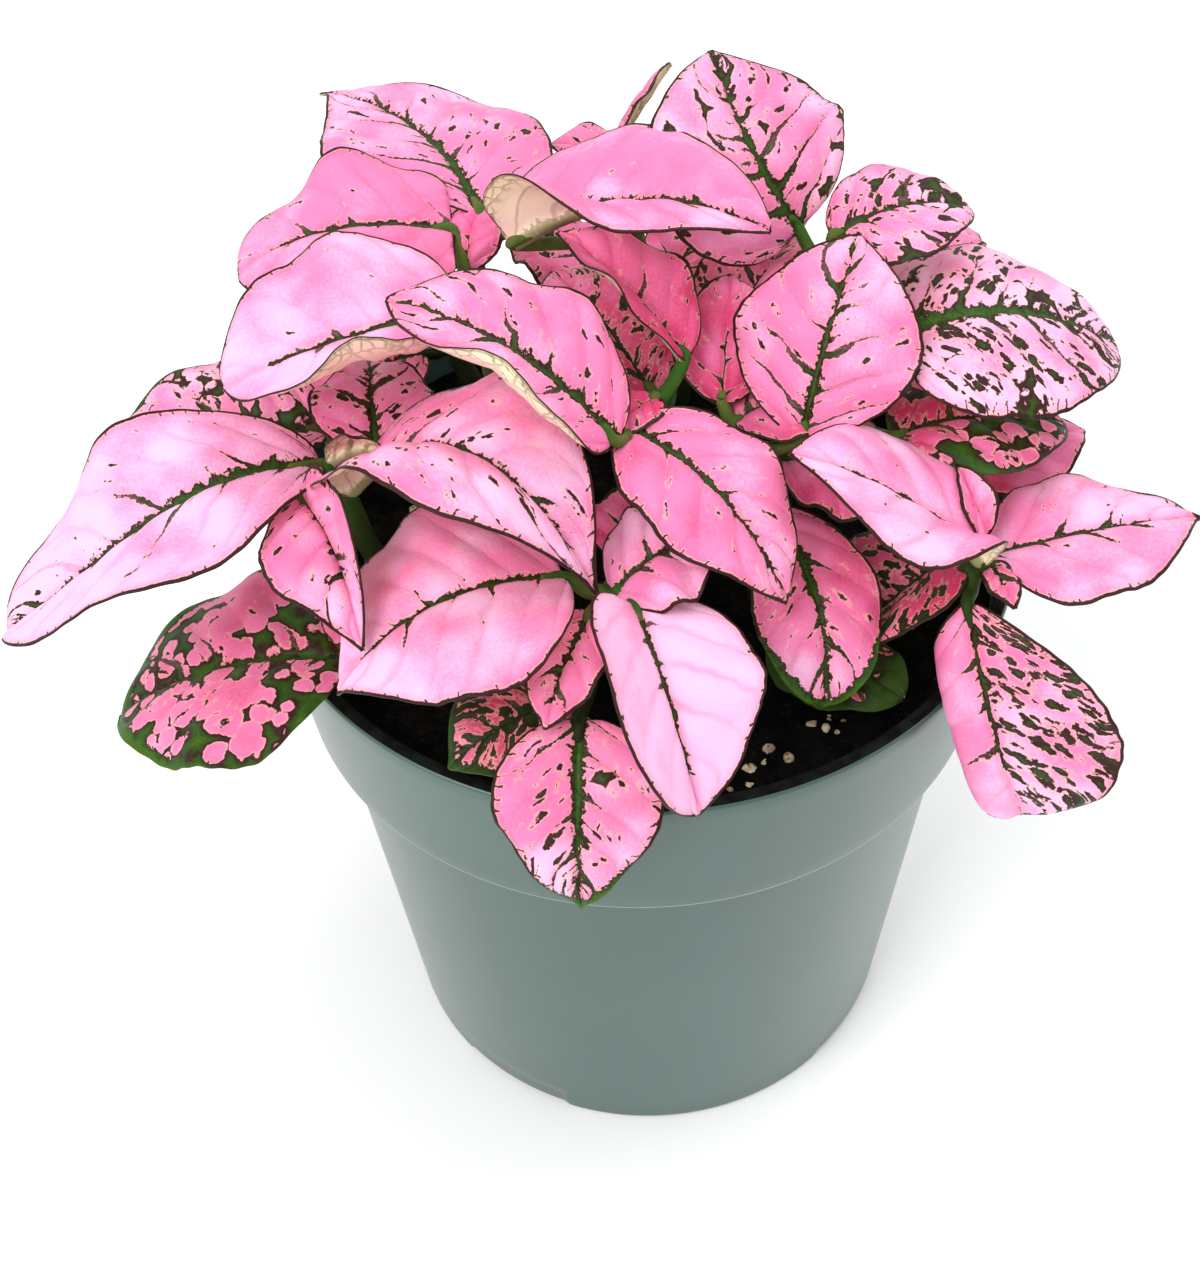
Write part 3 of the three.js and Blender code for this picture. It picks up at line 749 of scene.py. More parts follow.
# %% Soil pieces
PERLITE_OPEN = [(6, -20.8), (5.5, -21.6), (7.6, -20.1), (10.6, -17.4), (12, -17)]
PERLITE_PER_SPOT = 3
PERLITE_SPREAD = 0.55
PERLITE_SCATTERED = 34
PERLITE_SIZE = 0.2
CRUMBS = 900
CRUMB_SIZE = 0.16
CRUMB_SINK = 0.05


def on_soil(xy, sink):
    """Places on the soil surface, sunk in by a small depth."""
    x, y = np.asarray(xy, float).T
    return np.stack([x, y, soil_height(x, y) - sink], -1)


def random_spots(count, reach, seed):
    """Spots spread evenly over a disc."""
    rng = np.random.default_rng(seed)
    angle, radius = 2 * np.pi * rng.random(count), reach * np.sqrt(rng.random(count))
    return np.stack([radius * np.cos(angle), radius * np.sin(angle)], -1)


def add_soil():
    """The plug, its crumbs and its perlite, each a piece; most crumbs are close to the least size."""
    make_soil().piece("peat_soil", [PEAT], "soil", "soil")
    rng = np.random.default_rng(5)
    crumbs = Shape()
    scatter_lumps(crumbs, on_soil(random_spots(CRUMBS, SOIL_RADIUS - 1, 11), CRUMB_SINK),
                  CRUMB_SIZE + 0.42 * rng.random(CRUMBS) ** 2, round_ball(), 0.12, 21)
    crumbs.piece("soil_crumbs", [PEAT], None, "soil")

    grains = Shape()
    near = np.repeat(np.array(PERLITE_OPEN), PERLITE_PER_SPOT, 0)
    near = near + rng.normal(0, PERLITE_SPREAD, near.shape)
    near = near[np.hypot(*near.T) < SOIL_RADIUS - 1]
    scatter_lumps(grains, on_soil(near, 0.08), PERLITE_SIZE + 0.28 * rng.random(len(near)),
                  finer(*finer(*round_ball())), 0.03, 22)
    scatter_lumps(grains, on_soil(random_spots(PERLITE_SCATTERED, SOIL_RADIUS - 2, 12), 0.1),
                  PERLITE_SIZE + 0.4 * rng.random(PERLITE_SCATTERED), finer(*round_ball()), 0.06, 23)
    grains.piece("perlite_grains", [PERLITE], None, "soil")


add_soil()

# %% [markdown]
# ## The leaf table
#
# Polka dot plants grow in pairs of leaves along short stems. Here eleven shoots are listed, each
# with the points its stem passes above the soil and its leaves. A leaf gives the stem point that
# its stalk leaves from, and the root and the end of its blade. The rest describes its shape:
#
# - width: from edge to edge, laid flat
# - arch, lean: rise of the midrib above the straight line, and how far that rise sits to the root
# - bow: the midrib's swing to the right
# - tilt, twist: turn of the whole blade, and turn from root to end, right edge up
# - fold, curl: slope of the left and the right half at the midrib, and further bend to the edge
# - cup: more slope of the left and the right half, close to the root only
# - widest: place of the widest point, from root (0) to end (1)
# - base, point: low is blunt and high is slender, towards the root and towards the end
# - ripple, waves, phase: height, number and start of the waves along the edges
#
# The last line of a leaf is its pattern, in amounts from 0 to about 1. Pale is its ground colour,
# from rose to lilac. Midrib, branch, specks, blotch and tip are the green along the midrib, along
# its side veins, in small dots, in large patches and at the tip, and a few very green leaves have
# well over 1. Lopsided puts more of the dots on the right half (+) or the left (-).

# %% Leaf table
USUAL = dict(
    width=15, arch=2, lean=0, bow=0, tilt=0, twist=0, fold=(12, 12), curl=(-30, -30), cup=(0, 0),
    widest=0.42, base=0.8, point=0.8, ripple=0.5, waves=2.5, phase=0,
    pale=0.5, midrib=0.6, branch=0.5, specks=0.2, blotch=0, tip=0, lopsided=0)


def leaf(name, joint, root, end, **traits):
    """One row of the table, with the usual value for each trait that it doesn't give."""
    return dict(USUAL, name=name, joint=joint, root=np.array(root, float),
                end=np.array(end, float), **traits)


SHOOTS = {
    "shoot_front": ([(-2, -11, 47), (-3.5, -16, 51), (-2.5, -16.5, 58)], [
        leaf("broad_left", 3, (-5, -16, 59), (-18.8, -20.6, 54.8), width=16, arch=3, point=0.95,
             base=0.65,
             pale=0.75, midrib=0.75, branch=0.35, specks=0.05),
        leaf("pale_front", 3, (-1, -19, 59.5), (2.1, -28.7, 51.9), width=12.5, arch=2.5, bow=0.3,
             fold=(5, 45), curl=(-25, 10), widest=0.42, point=0.75, base=0.5,
             pale=1.05, midrib=0.7, branch=0.2, specks=0.02),
        leaf("small_right", 3, (-2, -17.5, 59), (4, -15, 60), width=8.5, arch=1.5,
             pale=0.7, midrib=0.7, branch=0.45, specks=0.1),
        leaf("young_front", 3, (-3.5, -18, 58), (-6.5, -23.5, 54), width=5, arch=1,
             pale=0.4, midrib=0.7, branch=0.4, specks=0.1),
        leaf("hanging_front", 2, (-4.5, -22, 53), (-5, -28, 42), width=10.5, arch=2.4, widest=0.34,
             point=1.05,
             pale=0.6, midrib=1.2, branch=1, specks=0.45, blotch=0.15, tip=1),
        leaf("dark_low", 2, (-4.5, -18.5, 51), (-12.6, -22.5, 49.5), width=9.6, arch=1.2,
             pale=0, midrib=1, branch=1, specks=1, blotch=0.4, tip=1.2),
        leaf("inner", 3, (-1.5, -12.5, 57), (-0.5, -8.5, 59), width=5, arch=1,
             pale=0.1, midrib=0.4, branch=0.3, specks=0.15),
    ]),
    "shoot_left": ([(-13.5, -6.5, 47), (-17.5, -7, 53), (-19, -7, 60)], [
        leaf("long_left", 3, (-20, -6, 60), (-40, -13.5, 54), width=14.2, arch=2.9, bow=-0.6,
             fold=(8, 38), curl=(-25, -25), ripple=0.9, waves=1.5, phase=1.7, widest=0.5, point=0.42,
             lean=0.65, base=0.65, twist=-30,
             pale=0.9, midrib=1.2, branch=0.8, specks=0.1),
        leaf("behind_left", 2, (-20.5, 0.5, 57), (-35.5, 3.5, 55), width=11.5, arch=2, tilt=12,
             pale=0.65, midrib=0.5, branch=0.6, specks=0.5, blotch=0.6, tip=0.8),
        leaf("folded_front", 3, (-21, -9, 60), (-16.9, -20.2, 58), width=9, arch=1.2, bow=-0.5,
             fold=(75, 8), curl=(10, -20), point=0.9, base=0.9,
             pale=0.6, midrib=0.5, branch=0.35, specks=0.35),
        leaf("upright", 3, (-16.5, -6, 60.5), (-17, 1.5, 62), width=8, arch=1.5,
             pale=0.45, midrib=0.9, specks=0.5, blotch=0.1),
        leaf("bud", 3, (-19.2, -7.2, 61.3), (-14.8, -8.4, 62), width=5.5, arch=0.8, tilt=62, ripple=0.1,
             pale=0.8, midrib=0.4, branch=0.4, specks=0.3),
        leaf("arched_right", 3, (-18, -8.5, 60), (-3, -18.5, 59.5), width=14, arch=7.5, widest=0.55,
             point=1.2, fold=(20, 35), lean=-0.1, base=0.35,
             pale=0.7, midrib=0.85, specks=0.4),
        leaf("low_green", 2, (-19, -13.5, 50), (-35, -13, 45), width=17, arch=2, point=0.65,
             pale=0.4, midrib=1, branch=0.8, specks=0.25, blotch=0.85, tip=1.6),
    ]),
    "shoot_back_left": ([(-8, 5, 47), (-9, 4, 56), (-10, 4, 65)], [
        leaf("high_back", 3, (-9.5, 8.5, 68), (-21.5, 28, 66), width=16, arch=1, bow=1.8, tilt=-5,
             fold=(15, 12), point=1.1, widest=0.38, base=1.1,
             pale=0.65, midrib=1.1, branch=0.9, specks=0.35),
        leaf("ridged_left", 3, (-11.3, 7, 68), (-25.4, 6.4, 66), width=12, arch=2.2, tilt=15,
             widest=0.34, point=0.5, ripple=1.4, waves=1.67, phase=1.26, base=0.35,
             pale=0.55, midrib=0.7, branch=0.3, specks=0.1),
        leaf("domed_left", 3, (-10.5, -1.5, 68), (-25, -6, 66.5), width=15, arch=0.8, fold=(-10, 32),
             curl=(85, -30), point=0.6, base=0.6,
             pale=0.85, midrib=0.7, branch=0.15, specks=0.05),
        leaf("bud", 3, (-10.5, 5.5, 66), (-9.5, 9.5, 68), width=4.5, arch=1, ripple=0.2,
             pale=0.4, midrib=0.2, branch=0.2, specks=0.1),
    ]),
    "shoot_centre": ([(0.5, -3.5, 47), (1, -5, 56), (1, -6.5, 64)], [
        leaf("rolled_left", 3, (-1.5, -12, 66), (-14.5, -5.7, 72.2), width=12, arch=2, fold=(-15, 18),
             curl=(100, -25),
             pale=0.6, midrib=0.9, branch=0.4, specks=0.3),
        leaf("streaked_front", 3, (-1, -9.5, 65), (8, -18.5, 58.5), width=10, arch=2.5,
             midrib=0.9),
        leaf("bud", 3, (1, -7, 65), (-2, -11, 65), width=3.5, arch=0.6, ripple=0.1,
             pale=0.05, midrib=0.2, branch=0.2, specks=0.1),
        leaf("inner_green", 2, (1, -5, 61), (-1.8, 1, 62.5), width=5.5, arch=0.6, ripple=0.2,
             pale=0.1, midrib=1, branch=1, specks=0.6, blotch=1.8, tip=1),
        leaf("coral_back", 3, (3, -4, 65.5), (-4.5, 2.5, 70.5), width=8, arch=1, fold=(35, 20),
             curl=(15, -20),
             pale=0.15, midrib=0.4, branch=0.3, specks=0.25),
        leaf("dark_back", 2, (1, -3.5, 62.2), (-5, 7.5, 64), width=10.5, arch=1, ripple=0.3,
             pale=0.1, branch=0.6, specks=0.7, blotch=0.25),
    ]),
    "shoot_right_centre": ([(8, -6, 47), (8, -7, 54), (7, -6.5, 60)], [
        leaf("upright_oval", 3, (10, -7.5, 61.7), (14, 0.5, 70.7), width=12, arch=1, widest=0.46,
             pale=0.62, midrib=0.9, branch=1, specks=0.25),
        leaf("inner", 3, (5.3, -4.5, 62.2), (6.5, 3.5, 66), width=7, arch=1, ripple=0.4,
             pale=0.1, midrib=0.3, branch=0.3),
        leaf("low_back", 3, (6, -5.3, 61.2), (13, -2.8, 61.2), width=8, arch=1, ripple=0.3,
             pale=0.15, midrib=0.4, branch=0.3),
        leaf("low_right", 2, (9, -6, 58.5), (17, -9, 56.5), width=9, arch=1.5,
             pale=0.1, midrib=0.4, branch=0.3, specks=0.1),
        leaf("coral_front", 2, (7.6, -9.4, 57.3), (10.5, -19.3, 50), width=8.4, arch=2, bow=-1,
             widest=0.54, point=0.5, base=0.5, ripple=0.25,
             pale=0.3, midrib=1.2, specks=0.25, tip=1.1),
        leaf("olive_low", 2, (8.5, -12, 48.4), (16, -17.2, 47.8), width=8, arch=0.5, ripple=0.3,
             point=0.5, base=0.5,
             pale=0.05, midrib=1, branch=1, specks=0.6, blotch=2.4, tip=1),
        leaf("speckled_back", 3, (5.5, 0, 63), (11.5, 9, 65), width=8.5, arch=1,
             pale=0.4, midrib=0.4, branch=0.4, specks=0.7),
    ]),
    "shoot_right": ([(16, -8, 47), (18.5, -11.5, 51), (20.3, -13.8, 56)], [
        leaf("pointed_left", 3, (20.5, -14.5, 57), (8.5, -12.7, 65), width=13.5, arch=1.3, fold=(24, 5),
             bow=0, cup=(45, 30), widest=0.5, ripple=0.1,
             pale=0.75, midrib=0.7, branch=0.15, specks=0.06),
        leaf("pointed_right", 3, (21, -13, 56), (35.5, -9.5, 55), width=11.2, arch=1.5, bow=0.8,
             widest=0.36, point=1.15, base=1.15,
             pale=0.75, specks=0.1),
        leaf("hanging_right", 3, (19.5, -16, 55), (23.4, -22.5, 42.2), width=15, arch=2, bow=0,
             tilt=-44, fold=(12, 30), curl=(-8, -230), widest=0.6, point=0.42, base=0.6,
             pale=0.65, branch=0.4, specks=0.5, tip=0.5, lopsided=-1),
        leaf("dark_low", 2, (20.2, -9.8, 53), (12.5, -14, 48.6), width=12, arch=1, base=0.7,
             fold=(50, 10), ripple=0.3,
             pale=0.05, midrib=0.9, branch=0.9, specks=0.85, blotch=0.5),
        leaf("curled_bud", 3, (20.4, -13.2, 58), (19.2, -9.6, 60.6), width=3.4, arch=0.5, fold=(60, 60),
             ripple=0.1,
             midrib=0.2, branch=0.2, specks=0.02),
        leaf("bud", 3, (21, -14, 56.5), (22, -17.5, 56), width=2.3, arch=0.3, ripple=0.1,
             pale=0.3, midrib=0.4, branch=0.3, specks=0.1),
    ]),
    "shoot_back": ([(1, 9, 47), (1.5, 10, 56), (0.5, 9, 66)], [
        leaf("edge_on", 3, (-1, 11.5, 70), (3.5, 17.5, 73), width=5, arch=0.3, tilt=63, fold=(0, 0),
             curl=(-10, -10), ripple=0.05,
             pale=0.4, midrib=0.4, branch=0.4, specks=0.4),
        leaf("domed_top", 3, (-7.3, 3.2, 69.4), (8.5, 1, 70.8), width=12.6, arch=2.4, tilt=12,
             twist=-14, fold=(38, 22), curl=(-35, -20), widest=0.36, point=0.62, cup=(0, 55), base=0.45,
             ripple=0.05,
             pale=0.6, midrib=1.2, branch=0.2, specks=0.08),
        leaf("back_left", 2, (-1, 11, 60), (-8, 17, 60.5), width=8, arch=1.5,
             pale=0.3, specks=0.5),
        leaf("back_right", 2, (3, 11, 60), (8, 18, 62), width=8, arch=1,
             pale=0.25, midrib=0.5, specks=0.3),
    ]),
    "shoot_back_right": ([(12, 3, 47), (13.5, 1, 56), (14, -1, 65)], [
        leaf("top_leaf", 3, (11, 6, 67.5), (5.8, 13.7, 76), width=15.5, arch=1.2, bow=-1.3, widest=0.42,
             point=0.85, base=0.5, ripple=0.35,
             pale=0.65, midrib=1.1, branch=1.2, specks=0.45, blotch=0.32, tip=0.3),
        leaf("green_right", 3, (15.8, -3, 65.8), (31, -0.6, 61.8), width=15.5, arch=2.2, fold=(12, -4),
             point=0.55, base=0.3, ripple=0.25,
             pale=0.85, midrib=1.6, branch=1.1, specks=0.7, blotch=0.35, tip=0.5),
        leaf("speckled_right", 3, (12.6, 2.5, 69.1), (21.6, 4.2, 69.5), width=10.2, arch=1.4,
             widest=0.42, point=0.65, ripple=0.2, base=0.65,
             pale=0.65, midrib=0.9, branch=0.6, specks=0.6, blotch=0.35, tip=0.4),
        leaf("dark_right", 2, (15.8, -6.3, 60.3), (27.5, -4, 58.5), width=10.5, arch=1.2, ripple=0.2,
             point=0.65, base=0.65,
             pale=0.2, midrib=0.7, branch=0.7, specks=0.5, blotch=0.85, tip=0.6),
        leaf("pink_right", 2, (21.5, -5, 54.5), (30, -0.5, 55), width=7, arch=1,
             pale=0.3, midrib=0.2, branch=0.2, specks=0.02),
    ]),
    "shoot_far_left": ([(-11, 14, 47), (-13, 16, 52), (-14, 17, 57)], [
        leaf("left", 3, (-15.5, 15.5, 58), (-28, 17.5, 54), width=11, arch=2.2,
             pale=0.6, midrib=0.8, branch=0.6, specks=0.3),
        leaf("back_left", 2, (-14.5, 19, 54.5), (-20.5, 31.5, 48.5), width=11.5, arch=2.5,
             pale=0.45, midrib=0.9, branch=0.7, specks=0.3, blotch=0.4, tip=0.6),
        leaf("back", 3, (-12.5, 18.5, 58), (-9, 31.5, 54), width=11, arch=2.5,
             pale=0.7, branch=0.4, specks=0.15),
        leaf("front_left", 2, (-15, 13.5, 53), (-24, 8, 50.5), width=10, arch=1.5,
             pale=0.3, midrib=0.7, branch=0.6, specks=0.5, blotch=0.2),
    ]),
    "shoot_far_middle": ([(4, 16, 47), (4.5, 18, 53), (4.5, 20, 60)], [
        leaf("back", 3, (4, 22, 59.5), (1, 35, 52), width=11.5, arch=2.7,
             pale=0.65, midrib=0.8, branch=0.7, specks=0.35, blotch=0.2, tip=0.5),
        leaf("back_right", 3, (6, 20.5, 61), (15.5, 30, 58), width=10, arch=2,
             pale=0.75, midrib=0.5, branch=0.4, specks=0.12),
        leaf("left", 3, (3, 20, 62), (-5, 22, 64.5), width=8, arch=1,
             pale=0.4, midrib=0.5, branch=0.4),
        leaf("low_back", 2, (3, 19, 54), (-4, 25.5, 50), width=10, arch=1,
             pale=0.2, midrib=0.8, branch=0.8, specks=0.6, blotch=0.5, tip=0.6),
    ]),
    "shoot_far_right": ([(15, 11, 47), (17, 12, 52), (18, 13, 57)], [
        leaf("right", 3, (19.5, 12.5, 57.5), (30, 11.5, 53.5), width=10.5, arch=2,
             pale=0.55, midrib=0.7, branch=0.6, specks=0.4, blotch=0.15),
        leaf("back_right", 3, (19, 16, 56.5), (25, 28, 50), width=11, arch=2.5,
             pale=0.6, midrib=0.9, branch=0.8, specks=0.25, blotch=0.3, tip=0.4),
        leaf("front_right", 3, (18.5, 11, 58.5), (26, 6, 58), width=8, arch=1.2,
             pale=0.3, midrib=0.5, branch=0.4),
        leaf("low_back", 2, (16.5, 15, 52.5), (14.5, 28, 48), width=11, arch=2,
             pale=0.35, midrib=0.8, branch=0.7, specks=0.45, blotch=0.5, tip=0.7),
    ]),
}

print(len(SHOOTS), "shoots with", sum(len(leaves) for _, leaves in SHOOTS.values()), "leaves")

# %% [markdown]
# ## Shape of a blade
#
# The midrib is a cubic curve. Each half of the blade starts at a slope from it and bends on with a
# steady curl, like a strip of a cylinder. The blade of this plant is quilted: it swells between
# the side veins, which stay behind as grooves. A finer unevenness and a slightly irregular edge
# keep it from looking stamped. One formula with numbers for each leaf is easier to fit to a picture
# than so many blades modelled by hand.

# %% Blade surface
BLADE_STUB = 0.4
QUILTING = 0.34
FULL_QUILT_SPACING = 2.5
VEIN_SLANT = 0.28
CUP_REACH = 0.3
SMALL_DENTS, LARGE_DENTS = 0.07, 0.22
GROOVE_DEPTH, GROOVE_WIDTH = 0.16, 0.35


def midrib_curve(row, u):
    """Place and direction of the midrib at each share u of its way, and the direction to its right.

    The row is the leaf's row of the table. The two handles of the cubic are lifted by the arch and
    swung aside by the bow.
    """
    chord = row["end"] - row["root"]
    level = unit(np.cross(chord, (0, 0, 1)))
    above = unit(np.cross(level, chord))
    tilt = np.radians(row["tilt"])
    right = np.cos(tilt) * level + np.sin(tilt) * above
    lift = 4 / 3 * row["arch"] * (np.cos(tilt) * above - np.sin(tilt) * level)
    swing = 4 / 3 * row["bow"] * right
    a, d = row["root"], row["end"]
    b = a + chord / 3 + lift * (1 + row["lean"]) + swing
    c = d - chord / 3 + lift * (1 - row["lean"]) + swing
    u = u[:, None]
    place = (1 - u) ** 3 * a + 3 * (1 - u) ** 2 * u * b + 3 * (1 - u) * u ** 2 * c + u ** 3 * d
    ahead = (1 - u) ** 2 * (b - a) + 2 * (1 - u) * u * (c - b) + u ** 2 * (d - c)
    return place, unit(ahead), right


def half_width(row, u):
    """Distance from midrib to edge: a skewed arch of a sine, raised to a power that sharpens it.

    Close to the end a slender blade narrows further, into a small drawn-out point.
    """
    skew = math.log(0.5) / math.log(row["widest"])
    swell = np.sin(np.pi * np.minimum(u ** skew, 1))
    swell = swell ** np.where(u < row["widest"], row["base"], row["point"])
    stub = BLADE_STUB * (1 - 0.85 * u)
    uneven = 1 + 0.012 * np.sin(23 * u + row["phase"]) * np.sin(51 * u)
    drawn_out = 1 - 0.9 * max(0, row["point"] - 0.5) * np.exp((u - 1) / 0.07)
    return stub + (row["width"] / 2 - stub) * swell * uneven * drawn_out


def vein_order(row, u, v):
    """Counts the side veins on the way to the end; they slant forward on their way to the edge.

    It also returns the distance in mm between one side vein and the next.
    """
    length = np.linalg.norm(row["end"] - row["root"])
    count = float(np.clip(round(3 + length / 6), 4, 7))
    return count * (u - VEIN_SLANT * np.abs(v) ** 1.1), length / count


def blade_middle(row, u, v, seed):
    """The middle surface of a blade, as rows from root to end and columns from left to right.

    From each point of the midrib an arc runs to both sides. It starts at the slope of the fold, and
    its radius is half the width divided by the curl. Waves, quilting, dents and the groove over the
    midrib are added at right angles to the midrib.
    """
    place, ahead, right = midrib_curve(row, u)
    right = unit(right - (ahead @ right)[:, None] * ahead)
    up = np.cross(right, ahead)
    twist = np.radians(row["twist"]) * u[:, None]
    right, up = (right * np.cos(twist) + up * np.sin(twist),
                 up * np.cos(twist) - right * np.sin(twist))

    side = (v > 0).astype(int)
    fold, curl, cup = (np.radians(row[name])[side] for name in ("fold", "curl", "cup"))
    fold = fold + cup * np.exp(-(u[:, None] / CUP_REACH) ** 3)
    radius = row["width"] / 2 / np.where(curl == 0, 1e-3, curl)
    run = np.abs(v) * half_width(row, u)[:, None]
    out = radius * (np.sin(fold + run / radius) - np.sin(fold))
    rise = radius * (np.cos(fold) - np.cos(fold + run / radius))
    wave = np.sin(2 * np.pi * row["waves"] * u[:, None] + row["phase"] + 0.6 * np.pi * side)
    rise = rise + row["ripple"] * v ** 2 * np.sin(np.pi * u[:, None]) * wave

    order, spacing = vein_order(row, u[:, None], v[None, :])
    from_vein = np.abs((order + 0.5 * side) % 1 - 0.5)
    pillow = np.sin(np.pi * from_vein) * np.sin(np.pi * np.abs(v) ** 0.75)
    quilt = QUILTING * min(1, spacing / FULL_QUILT_SPACING)
    # Every leaf reads its dents at another place of the same two fields of hills.
    x, y = u[:, None] * 15 + 31 * seed + 9, v[None, :] * 6 + 50
    dents = SMALL_DENTS * lattice_noise(x, y, 1.4, 77) + LARGE_DENTS * lattice_noise(x, y, 3.6, 78)
    rise = rise + quilt * pillow * np.sin(np.pi * u[:, None]) ** 0.5 + dents * np.abs(v) ** 0.7
    groove = GROOVE_DEPTH * np.exp(-(run / GROOVE_WIDTH) ** 2)
    rise = rise - groove * np.minimum(1, 2 * (1 - u[:, None]))
    return (place[:, None] + (np.sign(v) * out)[..., None] * right[:, None]
            + rise[..., None] * up[:, None])


some_leaf = SHOOTS["shoot_left"][1][0]
print(f"long left leaf: {2 * half_width(some_leaf, np.linspace(0, 1, 99)).max():.1f} mm wide,",
      f"side veins {vein_order(some_leaf, 0, 0)[1]:.1f} mm apart")

# %% [markdown]
# A blade is closed: an upper skin, an under skin with the midrib standing out below it, and a thin
# rim. Every point also carries what the pattern needs to know: its place on the blade in mm, its
# place between the side veins, and the leaf's own amounts from the table.

# %% Blade
LEAF_ROWS = 72
LEAF_COLUMNS = 45
BLADE_THICKNESS = 0.24
EDGE_THICKNESS = 0.1
THIN_MARGIN = 1.2
RIDGE_HEIGHT, RIDGE_WIDTH = 0.3, 0.4
UPPER, UNDER, STEM = 0, 1, 2


def blade_columns():
    """Shares from the left edge (-1) to the right edge (1), with a narrow first and last step."""
    inner = np.linspace(-0.985, 0.985, LEAF_COLUMNS)
    return np.concatenate([[-1], inner, [1]])


def add_blade(shape, row, seed):
    """Two skins at half the thickness above and below the middle surface, and a rim between them."""
    u, v = np.linspace(0, 1, LEAF_ROWS), blade_columns()
    middle = blade_middle(row, u, v, seed)
    normal = unit(np.cross(np.gradient(middle, axis=1), np.gradient(middle, axis=0)))
    reach = half_width(row, u)[:, None]
    run = np.abs(v) * reach
    plump = np.minimum(1, (reach - run) / THIN_MARGIN)
    half = (EDGE_THICKNESS + (BLADE_THICKNESS - EDGE_THICKNESS) * plump) / 2
    ridge = RIDGE_HEIGHT * (1 - 0.8 * u[:, None]) * np.exp(-(run / RIDGE_WIDTH) ** 2)
    top = middle + normal * half[..., None]
    under = middle - normal * (half + ridge)[..., None]

    rows, columns = run.shape
    count = rows * columns
    faces = squares(rows, columns)
    ring = np.concatenate([
        np.arange(columns - 1), np.arange(rows - 1) * columns + columns - 1,
        (rows - 1) * columns + np.arange(columns - 1, 0, -1), np.arange(rows - 1, 0, -1) * columns])
    after = np.roll(ring, -1)
    rim = np.stack([ring, ring + count, after + count, after], -1)

    def spread(*parts):
        """Three values for every point, each given for all points, for each row or as one number."""
        return np.stack(np.broadcast_arrays(*parts, run)[:-1], -1)

    along = np.cumsum(np.linalg.norm(np.gradient(middle[:, columns // 2], axis=0), axis=-1))
    order, spacing = vein_order(row, u[:, None], v[None, :])
    values = dict(
        leaf_mm=spread(along[:, None], np.sign(v) * run, reach - run),
        leaf_net=spread(order, spacing, seed),
        leaf_share=spread(u[:, None], row["pale"], row["lopsided"]),
        leaf_lines=spread(row["midrib"], row["branch"], row["tip"]),
        leaf_spots=spread(row["specks"], row["blotch"], 0))
    first = shape.count
    shape.add(np.stack([top, under]), [faces, rim], UPPER,
              **{name: np.stack([value, value]).reshape(-1, 3) for name, value in values.items()})
    shape.add_faces(faces[:, ::-1] + count + first, UNDER)


print("points on one skin of a blade:", LEAF_ROWS * len(blade_columns()))

# %% [markdown]
# Stems and stalks are round, tapered and a little uneven. They carry short pale hairs, which show
# as a soft fringe against the light. A particle system could grow the hairs, but as thin spikes in
# the mesh they stay a part of the piece.

# %% Stems, stalks and hairs
STEM_FLOOR = 38.0
STEM_RADIUS = 0.85
STALK_RADIUS = 0.55
STALK_SAG = 0.4
STALK_UNDER_BLADE = 0.08
CAP_LENGTH, CAP_WIDTH = 0.5, 0.3
HAIR_LENGTH = 0.34
HAIR_RADIUS = 0.018
HAIRS_PER_MM = 7
HAIRY_STEM = 14


def smooth_path(points, count):
    """A smooth curve through the points, each piece a cubic shaped by its neighbours."""
    points = np.asarray(points, float)
    before = 2 * points[0] - points[1]
    beyond = 2 * points[-1] - points[-2]
    p = np.concatenate([[before], points, [beyond]])
    s = np.linspace(0, len(points) - 1, count)
    i = np.minimum(s.astype(int), len(points) - 2)
    t = (s - i)[:, None]
    a, b, c, d = p[i], p[i + 1], p[i + 2], p[i + 3]
    return (2 * b + (c - a) * t + (2 * a - 5 * b + 4 * c - d) * t ** 2
            + (3 * b - a - 3 * c + d) * t ** 3) / 2


def add_tube(shape, path, radius, sides):
    """A round closed bar along a path, its ends drawn in to a dome."""
    ahead = unit(np.gradient(path, axis=0))
    aside = unit(np.cross(ahead, unit(path[-1] - path[0]) + (0.31, 0.77, 0.55)))
    above = np.cross(aside, ahead)
    angle = np.linspace(0, 2 * np.pi, sides, endpoint=False)[None, :, None]
    around = np.cos(angle) * aside[:, None] + np.sin(angle) * above[:, None]
    unevenness = np.sin(3 * angle + np.arange(len(path))[:, None, None])
    bumpy = radius[:, None, None] * (1 + 0.04 * unevenness)
    body = path[:, None] + around * bumpy
    start_cap = path[0] - ahead[0] * radius[0] * CAP_LENGTH + around[:1] * radius[0] * CAP_WIDTH
    end_cap = path[-1] + ahead[-1] * radius[-1] * CAP_LENGTH + around[-1:] * radius[-1] * CAP_WIDTH
    points = np.concatenate([start_cap, body, end_cap])
    ring = np.arange(sides)
    caps = np.stack([ring[::-1], (len(points) - 1) * sides + ring])
    shape.add(points, [squares(len(points), sides, around=True), caps], STEM)


